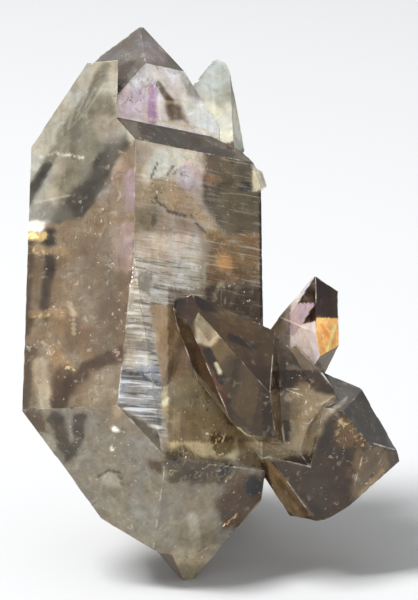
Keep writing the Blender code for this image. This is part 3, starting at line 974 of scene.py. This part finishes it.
# %% Chunky crystal: the front
front = chunky & (facing((-1, 1)) | facing((42, -9)))
on_front = in_region(front, "chunky front:")
GOLDEN_BROWN = ((334, 418), (366, 422), (370, 448), (336, 448))
on_front(area(GOLDEN_BROWN, 7, 3), (140, 106, 60), strength=0.8, gold=0.6)
DARK_FRONT = ((300, 450), (358, 450), (356, 512), (302, 512))
on_front(area(DARK_FRONT, 10, 3), (78, 56, 30), strength=0.9)
BLUE_GRAY_FRONT = ((304, 480), (328, 480), (330, 508), (308, 508))
on_front(area(BLUE_GRAY_FRONT, 8), (70, 76, 72), strength=0.8)
DARK_LINE = ((340, 452), (352, 460))
on_front(band(DARK_LINE, 4, 6, 4), (60, 46, 42), strength=0.7)
UPPER_RED_DAB = (348, 473)
on_front(spot(*UPPER_RED_DAB, 1, 7, 3), (120, 72, 56), strength=0.7)
LOWER_RED_DAB = (334, 498)
on_front(spot(*LOWER_RED_DAB, 2, 8, 3), (96, 68, 54), strength=0.7)
print("strokes so far:", len(laid))

# %% [markdown]
# Both rims of it are cream and tan, where the stone is thin.

# %% Chunky crystal: rims at the right and left
CREAM_RIGHT = ((356, 448), (402, 448), (400, 472), (362, 500), (352, 492))
lay(area(CREAM_RIGHT, 4, 3), (140, 118, 82), where=chunky & ~gray_face, strength=0.8, veil=1.0)
GOLD_RIM = ((362, 494), (384, 470))
lay(band(GOLD_RIM, 1.5, 3, 3), (208, 186, 132), where=chunky & ~gray_face, strength=0.7)
TAN_LEFT_RIM = ((264, 454), (284, 476), (314, 516), (300, 520), (278, 506))
on_chunky(area(TAN_LEFT_RIM, 1.5, 1), (172, 150, 112), strength=0.85, veil=1.0)
BROWN_LEFT_LINE = ((276, 478), (306, 514))
on_chunky(band(BROWN_LEFT_LINE, 2, 3, 2), (96, 74, 46), strength=0.6)
BROWN_LEFT_FRONT = ((270, 456), (300, 456), (306, 490), (290, 492))
on_front(area(BROWN_LEFT_FRONT, 5, 3), (96, 78, 50), strength=0.8)
print("strokes so far:", len(laid))

# %% [markdown]
# Between the side crystals lies a milky, pale brown foot with bright seams along its borders. It has no
# faces of its own, so it is painted where the picture shows it, over what is there.

# %% Milky foot
FOOT_FRAME = (230, 376, 350, 470)
RIGHT_SEAM_FRAME = (290, 390, 350, 470)
LEFT_SEAM_FRAME = (215, 415, 270, 452)
FOOT_OUTLINE = ((236, 398), (300, 388), (346, 398), (328, 418), (312, 452), (268, 462), (238, 436))

foot = near(*FOOT_FRAME) & ~gray_face
print("milky foot:", int(foot.sum()), "corners")
lay(
    area(FOOT_OUTLINE, 5, 3), (190, 176, 144), where=foot & ~window_face, strength=0.9, clear=0.30,
    rough=0.14, flecks=0.5, veil=0.9,
)
FOOT_CLOUD = (300, 400)
lay(spot(*FOOT_CLOUD, 10, 12), (158, 150, 126), where=foot, strength=0.6)
FOOT_TOP_SEAM = ((305, 412), (318, 404), (336, 402), (348, 398))
lay(band(FOOT_TOP_SEAM, 0.6, 1.2, 3), (224, 214, 186), where=near(*RIGHT_SEAM_FRAME), strength=0.8)
FOOT_LEFT_SEAM = ((222, 424), (240, 430), (252, 438), (262, 446))
lay(band(FOOT_LEFT_SEAM, 0.6, 1.2, 2), (222, 204, 160), where=near(*LEFT_SEAM_FRAME), strength=0.8)
FOOT_RIGHT_SEAM = ((309, 454), (313, 426), (327, 414), (344, 400))
lay(band(FOOT_RIGHT_SEAM, 1.5, 2.5, 2), (196, 186, 158), where=near(*RIGHT_SEAM_FRAME), strength=0.7)
print("strokes so far:", len(laid))

# %% [markdown]
# The side crystals are darker than the large one, so a thin coat of brown smoke goes over all their
# strokes. It is one wash for each crystal, so their own strokes still show through it.

# %% Smoke over the side crystals
lay(everywhere, (86, 58, 26), where=tapered & ~window_face, strength=0.45, clear=0.65)
on_window(everywhere, (70, 54, 36), strength=0.20, clear=0.60)
lay(everywhere, (92, 60, 24), where=chunky & ~gray_face, strength=0.50, clear=0.65)
on_gray_face(everywhere, (76, 70, 62), strength=0.55)

print("smoke over", int((tapered | chunky).sum()), "corners")

# %% [markdown]
# Crystal edges catch the light where they are slightly worn, so a pale rim is partly frosted wear and
# partly painted highlight. A bevel all along them would look new, so a cloud pattern decides where a rim
# is pale and where it stays sharp.

# %% Pale rims
rim = np.zeros(len(points))
rim[list(rim_places)] = 1.0
# Pale rims: frosted wear together with a painted edge highlight.
worn = 0.08 + 0.55 * smooth(1.6 * clouds(320, 12) + 0.25)
lay(rim * worn, (206, 202, 192), clear=0.3, rough=0.25)
print("rim points:", int(rim.sum()))

# %% [markdown]
# Real edges have nicks of a tenth of a millimetre, and growth faces aren't quite flat. Points are pushed
# inward, so the stone stays inside its solid, and the flat foot stays where it is.

# %% Worn edges and face relief
RIM_WEAR = 0.00010
FACE_RELIEF = 0.000025
FOOT_HEIGHT = 0.0006

outward = np.empty(len(mesh.vertices) * 3)
mesh.vertices.foreach_get("normal", outward)
outward = outward.reshape(-1, 3)
nicks = rim * RIM_WEAR * smooth(1.8 * clouds(420, 21, 4))
waves = FACE_RELIEF * clouds(330, 22, 4)
above_foot = smooth(points[:, 2] / FOOT_HEIGHT)
worn_points = points - outward * ((nicks + FACE_RELIEF + waves) * above_foot)[:, None]
mesh.vertices.foreach_set("co", worn_points.ravel())
mesh.update()
print("deepest wear:", (nicks.max() * 1000).round(3), "mm")

# %% [markdown]
# The polished face adds a white haze to every colour, and the depth of the stone takes some light away.
# So the paint is stored deeper and stronger than it should look. All channels are scaled alike, because
# taking the haze from each one would turn dark browns red.

# %% Store the paint
HAZE = 0.034
GAIN = 1.44
DARKEST = 0.25
BRIGHTEST = 0.96


def store(name, colours):
    """Writes one colour attribute of the mesh."""
    attribute = mesh.attributes.new(name, "FLOAT_COLOR", "CORNER")
    attribute.data.foreach_set("color", colours.astype(np.float32).ravel())


whole = np.ones(len(corner_point))
light = tint.mean(axis=1, keepdims=True)
deepened = np.clip(tint * np.maximum((light - HAZE) / light, DARKEST) * GAIN, 0, BRIGHTEST)
store("tint", np.column_stack([deepened, whole]))
store("finish", np.column_stack([layers["clear"], layers["rough"], layers["lines"], whole]))
store("sparkle", np.column_stack([layers["flecks"], layers["gold"], layers["veil"], whole]))
print("mean clearness:", layers["clear"].mean().round(2))

# %% [markdown]
# ## The quartz
# Real quartz is clear, and what shows in it are its flaws: smoke, milky veils, growth ribs and healed
# cracks. It could be a glass with real cracks modelled inside, but thousands of them would be too heavy.
# So one Principled shader is glass where the paint says clear and milky where it doesn't, and noise in
# object coordinates draws the flaws.

# %% Quartz material and its small helpers
QUARTZ_IOR = 1.544

quartz = bpy.data.materials.new("smoky_quartz_crystal")
quartz.use_nodes = True
tree = quartz.node_tree
shader = tree.nodes["Principled BSDF"]
shader.inputs["IOR"].default_value = QUARTZ_IOR


def node(kind, **settings):
    made = tree.nodes.new(kind)
    for name, value in settings.items():
        setattr(made, name, value)
    return made


def link(source, target):
    tree.links.new(source, target)


def feed(socket, value):
    """Links a socket to the input, or writes a plain value into it."""
    if isinstance(value, bpy.types.NodeSocket):
        link(value, socket)
    else:
        socket.default_value = value


def number(operation, first, second=0.0, clamp=False):
    """A math node. Each input is a socket or a plain number."""
    made = node("ShaderNodeMath", operation=operation, use_clamp=clamp)
    feed(made.inputs[0], first)
    feed(made.inputs[1], second)
    return made.outputs[0]


def times(*factors):
    return reduce(partial(number, "MULTIPLY"), factors)


def plus(*terms):
    return reduce(partial(number, "ADD"), terms)


def minus(first, second):
    return number("SUBTRACT", first, second)


def mixed(share, first, second, blend="MIX"):
    """Two colours mixed by a share."""
    made = node("ShaderNodeMix", data_type="RGBA", blend_type=blend)
    feed(made.inputs[0], share)
    feed(made.inputs[6], first)
    feed(made.inputs[7], second)
    return made.outputs[2]


def split(colour):
    """The three channels of a colour."""
    parts = node("ShaderNodeSeparateColor")
    link(colour, parts.inputs[0])
    return parts.outputs


def painted(name):
    """A painted attribute of the mesh."""
    return node("ShaderNodeAttribute", attribute_name=name).outputs["Color"]


tint_colour = painted("tint")
clear, rough, lines = split(painted("finish"))
flecks, gold, veil = split(painted("sparkle"))
print("quartz refracts:", QUARTZ_IOR)

# %% [markdown]
# Every flaw starts as a noise. Stretched coordinates turn a noise into ribs or streaks, because growth
# lines run across the crystal's long axis and needles run along it. The scale of a noise is its lumps per
# metre.

# %% Patterns in the stone
RIB_STRETCH = (150, 150, 2100)
WISP_STRETCH = (900, 900, 260)
CRACK_STRETCH = (150, 150, 240)
STREAK_STRETCH = (950, 950, 95)
INNER_STRETCH = (330, 330, 150)

place = node("ShaderNodeTexCoord").outputs["Object"]


def pattern(scale, detail=3.0, roughness=0.55, distortion=0.0, vector=None):
    made = node("ShaderNodeTexNoise")
    link(place if vector is None else vector, made.inputs["Vector"])
    made.inputs["Scale"].default_value = scale
    made.inputs["Detail"].default_value = detail
    made.inputs["Roughness"].default_value = roughness
    made.inputs["Distortion"].default_value = distortion
    return made.outputs["Fac"]


def stretched(scale):
    """Object coordinates turned into the large crystal's own axes and stretched."""
    turned = node("ShaderNodeMapping", vector_type="TEXTURE")
    turned.inputs["Rotation"].default_value = LARGE_TURN.to_euler()
    link(place, turned.inputs["Vector"])
    sized = node("ShaderNodeMapping", vector_type="POINT")
    sized.inputs["Scale"].default_value = scale
    link(turned.outputs[0], sized.inputs["Vector"])
    return sized.outputs[0]


def ramp(value, low, high):
    """A soft step from 0 at the first limit to 1 at the second."""
    made = node("ShaderNodeMapRange", interpolation_type="SMOOTHSTEP")
    link(value, made.inputs["Value"])
    made.inputs["From Min"].default_value = low
    made.inputs["From Max"].default_value = high
    return made.outputs[0]


def thin(value, width):
    """Thin winding lines: where a noise passes its middle value."""
    return ramp(number("ABSOLUTE", minus(value, 0.5)), width, 0.0)


mottle = pattern(330, 5.0, 0.65, 0.8)
lumps = pattern(120, 2.0, 0.5, 1.0)
grain = pattern(2400, 2.0, 0.7)
speck = pattern(1500, 2.0, 0.6, 0.3)
sparks = pattern(900, 3.0, 0.6, 1.0)
ribs = pattern(1.0, 3.0, 0.6, 0.3, stretched(RIB_STRETCH))
wisp_noise = pattern(1.0, 4.0, 0.60, 0.5, stretched(WISP_STRETCH))
crack_noise = pattern(1.0, 3.0, 0.55, 0.9, stretched(CRACK_STRETCH))
long_streaks = pattern(1.0, 4.0, 0.6, 0.2, stretched(STREAK_STRETCH))
print("pattern nodes:", len(tree.nodes))

# %% [markdown]
# Smoke isn't even. Broad lumps, a fine grain and streaks along the crystal make it lighter and darker,
# and the lumps also turn it a little warmer or cooler. Where the stone is clear, large angular cells of
# lighter and darker shade are painted reflections of the facets inside it.

# %% Clouds in the stone
BASE_SHADE = 0.56
MOTTLE_SHARE = 0.46
LUMP_SHARE = 0.22
GRAIN_SHARE = 0.20
INNER_REFLECTION_SHARE = 0.65
STREAK_SHARE = 0.13
STREAK_LOSS_ON_RIBS = 0.12
WARM_LIGHT = (1.07, 1.0, 0.90, 1)
COOL_LIGHT = (0.96, 1.0, 1.05, 1)

mottle_shade = times(ramp(mottle, 0.28, 0.72), MOTTLE_SHARE)
lump_shade = times(ramp(lumps, 0.3, 0.7), LUMP_SHARE)
shade = plus(mottle_shade, lump_shade, times(grain, GRAIN_SHARE), BASE_SHADE)
streak_strength = minus(STREAK_SHARE, times(lines, STREAK_LOSS_ON_RIBS))
streak_shade = times(minus(ramp(long_streaks, 0.36, 0.64), 0.5), streak_strength)
# Painted reflections: angular cells of lighter and darker shade where the stone is clear.
inner = node("ShaderNodeTexVoronoi")
inner.inputs["Scale"].default_value = 1.0
link(stretched(INNER_STRETCH), inner.inputs["Vector"])
inner_reflection_cell = times(minus(split(inner.outputs["Color"])[1], 0.5), ramp(clear, 0.54, 0.60))
shade = plus(shade, streak_shade, times(inner_reflection_cell, INNER_REFLECTION_SHARE))
warmth = mixed(ramp(lumps, 0.35, 0.65), WARM_LIGHT, COOL_LIGHT)
mottled = mixed(1.0, mixed(1.0, tint_colour, shade, "MULTIPLY"), warmth, "MULTIPLY")
print("nodes with clouds:", len(tree.nodes))

# %% [markdown]
# Fine ribs catch light on one side and shade on the other, so each rib is a dark and a bright line. They
# could be modelled, but they are finer than the mesh, so they are colour and bump. Wisps and thin winding
# cracks lie where the paint has a veil.

# %% Ribs, wisps and fine cracks
RIB_SHARE = 0.72
WISP_SHARE = 0.35
CRACK_SHARE = 0.6
RIB_SHADE = (0.06, 0.055, 0.055, 1)
RIB_SHINE = (0.84, 0.85, 0.86, 1)
WISP_COLOUR = (0.78, 0.76, 0.70, 1)
CRACK_COLOUR = (0.05, 0.04, 0.03, 1)

line_share = number("POWER", lines, 1.5)
rib_dark = times(ramp(ribs, 0.53, 0.62), times(line_share, RIB_SHARE))
ribbed = mixed(rib_dark, mottled, RIB_SHADE)
rib_light = times(ramp(ribs, 0.46, 0.36), times(line_share, RIB_SHARE))
lit_ribs = mixed(rib_light, ribbed, RIB_SHINE)
wisp_mask = times(ramp(wisp_noise, 0.60, 0.70), ramp(mottle, 0.45, 0.62), times(veil, WISP_SHARE))
wisped = mixed(wisp_mask, lit_ribs, WISP_COLOUR)
crack_mask = times(thin(crack_noise, 0.008), ramp(lumps, 0.54, 0.66), times(veil, CRACK_SHARE))
cracked = mixed(crack_mask, wisped, CRACK_COLOUR)
print("nodes with ribs and cracks:", len(tree.nodes))

# %% [markdown]
# A healed crack is a sheet of tiny flat cells, and each cell mirrors light or dark, so its bright and dark
# cells are painted reflections. A cell pattern with its coordinates swayed by a noise looks like them,
# without the straight borders of plain cells.

# %% Healed cracks
SWAY_SCALE = 700
SWAY_REACH = 0.0022
CELL_SCALE = 1300
HEALED_SHARE = 0.55
DARK_REFLECTION_SHARE = 0.6
DARK_REFLECTION = (0.09, 0.075, 0.055, 1)
BRIGHT_REFLECTION = (0.60, 0.56, 0.46, 1)

bent = node("ShaderNodeVectorMath", operation="ADD")
sway = node("ShaderNodeTexNoise")
sway.inputs["Scale"].default_value = SWAY_SCALE
link(place, sway.inputs["Vector"])
swing = node("ShaderNodeVectorMath", operation="SCALE")
link(sway.outputs["Color"], swing.inputs[0])
swing.inputs["Scale"].default_value = SWAY_REACH
link(place, bent.inputs[0])
link(swing.outputs[0], bent.inputs[1])
cells = node("ShaderNodeTexVoronoi")
cells.inputs["Scale"].default_value = CELL_SCALE
link(bent.outputs[0], cells.inputs["Vector"])
cell = split(cells.outputs["Color"])[0]
healed = times(veil, ramp(mottle, 0.46, 0.62), HEALED_SHARE)
# The dark and bright cells are painted reflections of the crack's tiny faces.
dark_reflection = times(ramp(cell, 0.30, 0.10), healed)
bright_reflection = times(ramp(cell, 0.86, 0.98), healed)
celled = mixed(bright_reflection, mixed(times(dark_reflection, DARK_REFLECTION_SHARE), cracked, DARK_REFLECTION), BRIGHT_REFLECTION)
print("nodes with healed cracks:", len(tree.nodes))

# %% [markdown]
# White flecks and gold glints are painted sparkles, light caught by tiny inclusions, and dark specks are
# dust and tiny inclusions. They lie only where the paint asks for them.

# %% Flecks, specks and gold glints
SPARKLE_FLECK_COLOUR = (0.85, 0.83, 0.74, 1)
SPECK_COLOUR = (0.05, 0.045, 0.035, 1)
GLINT_COLOUR = (0.95, 0.76, 0.42, 1)
DARK_SPECK_SHARE = 0.7

# White flecks: painted sparkles of light on tiny inclusions.
sparkle_fleck_mask = times(ramp(speck, 0.68, 0.72), flecks)
sparkled = mixed(sparkle_fleck_mask, celled, SPARKLE_FLECK_COLOUR)
dark_mask = times(ramp(speck, 0.34, 0.30), flecks)
specked = mixed(times(dark_mask, DARK_SPECK_SHARE), sparkled, SPECK_COLOUR)
# The gold layer gives painted glints of light.
glint = times(ramp(sparks, 0.56, 0.64), gold)
coloured = mixed(glint, specked, GLINT_COLOUR)
print("nodes with flecks:", len(tree.nodes))

# %% [markdown]
# Light is coloured on its way into clear stone and again on its way out, so clear parts get a deeper
# colour. Bright marks and dark smoke let less light through, so they lower the transmission.

# %% Clear and milky stone
DEEPEN = 0.3
SMOKE_PASSES = (0.65, 0.35)
MARK_SHARE = 0.6
MOTTLE_ROUGHNESS = 0.06

deeper = node("ShaderNodeGamma")
link(coloured, deeper.inputs["Color"])
link(plus(times(clear, DEEPEN), 1.0), deeper.inputs["Gamma"])
link(deeper.outputs[0], shader.inputs["Base Color"])
bright_marks = plus(sparkle_fleck_mask, times(rib_light, MARK_SHARE))
solid_marks = number("ADD", bright_marks, plus(glint, times(wisp_mask, MARK_SHARE)), clamp=True)
brightness = node("ShaderNodeRGBToBW")
link(coloured, brightness.inputs[0])
smoke_share = plus(times(ramp(brightness.outputs[0], 0.0, 0.10), SMOKE_PASSES[0]), SMOKE_PASSES[1])
passes = number("MULTIPLY", times(clear, smoke_share), minus(1.0, solid_marks), clamp=True)
link(passes, shader.inputs["Transmission Weight"])
link(plus(rough, times(ramp(mottle, 0.4, 0.7), MOTTLE_ROUGHNESS)), shader.inputs["Roughness"])
print("nodes with transmission:", len(tree.nodes))

# %% [markdown]
# The ribs and cracks also bend the light a little, which a bump does without more triangles. A thin brown
# absorption in the volume darkens the thick middle of the stone, as smoke does.

# %% Relief and smoke
BUMP_DISTANCE = 0.0002
BUMP_STRENGTH = 0.30
RIB_RELIEF = 0.8
MOTTLE_RELIEF = 0.6
CRACK_RELIEF = 0.3
SMOKE_COLOUR = (0.72, 0.62, 0.50, 1)
SMOKE_DENSITY = 14.0

relief = minus(
    plus(times(ribs, times(line_share, RIB_RELIEF)), times(mottle, MOTTLE_RELIEF)),
    times(crack_mask, CRACK_RELIEF),
)
bump = node("ShaderNodeBump")
bump.inputs["Distance"].default_value = BUMP_DISTANCE
bump.inputs["Strength"].default_value = BUMP_STRENGTH
link(relief, bump.inputs["Height"])
link(bump.outputs[0], shader.inputs["Normal"])
smoke = node("ShaderNodeVolumeAbsorption")
smoke.inputs["Color"].default_value = SMOKE_COLOUR
smoke.inputs["Density"].default_value = SMOKE_DENSITY
link(smoke.outputs[0], tree.nodes["Material Output"].inputs["Volume"])
mesh.materials.clear()
mesh.materials.append(quartz)
print("quartz nodes:", len(tree.nodes))

# %% [markdown]
# ## Golden flakes
# Healed cracks in the stone carry thin flakes that flash gold and cream. They could be drawn in the shader,
# but real flakes under the face are moved and doubled by the stone's own refraction. One small six-sided
# flake is modelled, and copies of it in many sizes are sunk a little below the faces. Each one is tilted
# a little against its face, so that only some of them flash.

# %% Where the flakes lie
FLAKE_FIELDS = {
    "golden veil": (((150, 184), (186, 196), (226, 234), (222, 256), (178, 236), (150, 212)), 70),
    "cream strip": (((200, 232), (214, 232), (214, 300), (198, 300)), 24),
    "gold step": (((28, 232), (66, 232), (66, 262), (28, 262)), 26),
    "gold arc": (((30, 306), (84, 306), (76, 374), (34, 370)), 46),
    "lower left face": (((90, 412), (140, 428), (132, 462), (90, 452)), 40),
    "speck band": (((160, 386), (232, 410), (262, 446), (246, 486), (164, 484)), 150),
    "silver": (((128, 320), (160, 320), (164, 396), (120, 396)), 20),
    "tip": (((120, 500), (214, 492), (210, 556), (140, 548)), 34),
    "chunky crystal": (((332, 398), (398, 430), (396, 470), (352, 500), (332, 440)), 60),
}
LOWEST_FLAKE = 0.003

print("flakes to place:", sum(count for _, count in FLAKE_FIELDS.values()))

# %% Model one flake
FLAKE_CORNERS = 6
FLAKE_RADIUS = 0.00020
FLAKE_THICKNESS = 0.00003
FLAKE_BEVEL = 0.00007
FLAKE_SWELL = 0.00001
END_FACE = 0.9

bpy.ops.object.select_all(action="DESELECT")
bpy.ops.mesh.primitive_cylinder_add(
    vertices=FLAKE_CORNERS, radius=FLAKE_RADIUS, depth=FLAKE_THICKNESS, location=(0, 0, 0)
)
flake = bpy.context.object
for face in flake.data.polygons:
    face.select = abs(face.normal.z) > END_FACE
bpy.ops.object.mode_set(mode="EDIT")
bpy.ops.mesh.select_mode(type="FACE")
bpy.ops.mesh.inset(thickness=FLAKE_BEVEL, depth=FLAKE_SWELL)
bpy.ops.object.mode_set(mode="OBJECT")
print("one flake:", len(flake.data.polygons), "faces")

# %% [markdown]
# A flake is placed at a random point of its field, sunk, tilted, sized and stretched. The random numbers
# start from a fixed seed, so every run gives the same stone. The copies are joined, because together they
# are one scatter of one material.

# %% Copy the flake into the stone
FLAKE_SCALE = (0.4, 1.3)
FLAKE_STRETCH = (1.0, 1.7)
FLAKE_TILT = 0.45
FLAKE_DEPTH = (0.00022, 0.00070)
FLAKE_SEED = 11

chance = random.Random(FLAKE_SEED)
seen_points = np.zeros(len(points), dtype=bool)
seen_points[corner_point[SEEN]] = True
copies = []
for outline, count in FLAKE_FIELDS.values():
    inside_outline = (area(outline, 1.0) > 0.5) & seen_points
    candidates = np.flatnonzero(inside_outline & (rim == 0) & (points[:, 2] > LOWEST_FLAKE))
    for _ in range(count):
        chosen = chance.choice(candidates)
        inward = -Vector(outward[chosen])
        middle = Vector(points[chosen]) + inward * chance.uniform(*FLAKE_DEPTH)
        tilt = Euler([chance.uniform(-FLAKE_TILT, FLAKE_TILT) for _ in range(3)])
        size = chance.uniform(*FLAKE_SCALE)
        stretch = chance.uniform(*FLAKE_STRETCH)
        turn = inward.to_track_quat("Z", "Y").to_matrix() @ tilt.to_matrix()
        sized = Matrix.Diagonal((size * stretch, size, 1, 1))
        place_in_stone = Matrix.Translation(middle) @ turn.to_4x4() @ sized
        another = flake.copy()
        another.data = flake.data.copy()
        another.data.transform(place_in_stone)
        bpy.context.scene.collection.objects.link(another)
        copies.append(another)
bpy.data.objects.remove(flake)
bpy.ops.object.select_all(action="DESELECT")
for another in copies:
    another.select_set(True)
golden_flakes = copies[0]
bpy.context.view_layer.objects.active = golden_flakes
bpy.ops.object.join()
golden_flakes.name = "golden_flakes"
golden_flakes.data.name = "golden_flakes"
print("flakes:", len(copies))

# %% [markdown]
# The flakes are gold where iron stains them and cream where they are clean. A broad noise
# chooses between the two, so neighbours match, and a little metal makes them flash.

# %% Flake material
FLAKE_GOLD = (0.62, 0.42, 0.18, 1)
FLAKE_CREAM = (0.95, 0.90, 0.74, 1)
FLAKE_NOISE_SCALE = 300
GOLD_UNTIL = 0.40
CREAM_FROM = 0.58
FLAKE_ROUGHNESS = 0.35
FLAKE_METAL = 0.2

flake_skin = bpy.data.materials.new("gold_cream_flake")
flake_skin.use_nodes = True
flake_tree = flake_skin.node_tree
flake_shader = flake_tree.nodes["Principled BSDF"]
flake_place = flake_tree.nodes.new("ShaderNodeTexCoord")
flake_noise = flake_tree.nodes.new("ShaderNodeTexNoise")
flake_noise.inputs["Scale"].default_value = FLAKE_NOISE_SCALE
flake_colours = flake_tree.nodes.new("ShaderNodeValToRGB")
flake_colours.color_ramp.elements[0].position = GOLD_UNTIL
flake_colours.color_ramp.elements[0].color = FLAKE_GOLD
flake_colours.color_ramp.elements[1].position = CREAM_FROM
flake_colours.color_ramp.elements[1].color = FLAKE_CREAM
flake_tree.links.new(flake_place.outputs["Object"], flake_noise.inputs["Vector"])
flake_tree.links.new(flake_noise.outputs["Fac"], flake_colours.inputs["Fac"])
flake_tree.links.new(flake_colours.outputs["Color"], flake_shader.inputs["Base Color"])
flake_shader.inputs["Roughness"].default_value = FLAKE_ROUGHNESS
flake_shader.inputs["Metallic"].default_value = FLAKE_METAL
golden_flakes.data.materials.append(flake_skin)
print("flake metal:", FLAKE_METAL)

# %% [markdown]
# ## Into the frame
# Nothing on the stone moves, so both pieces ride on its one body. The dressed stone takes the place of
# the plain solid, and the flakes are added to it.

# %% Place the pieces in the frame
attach(crystals, "root")
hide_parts("quartz_cluster")
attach(golden_flakes, "root")
print("pieces placed: quartz_crystals and golden_flakes")
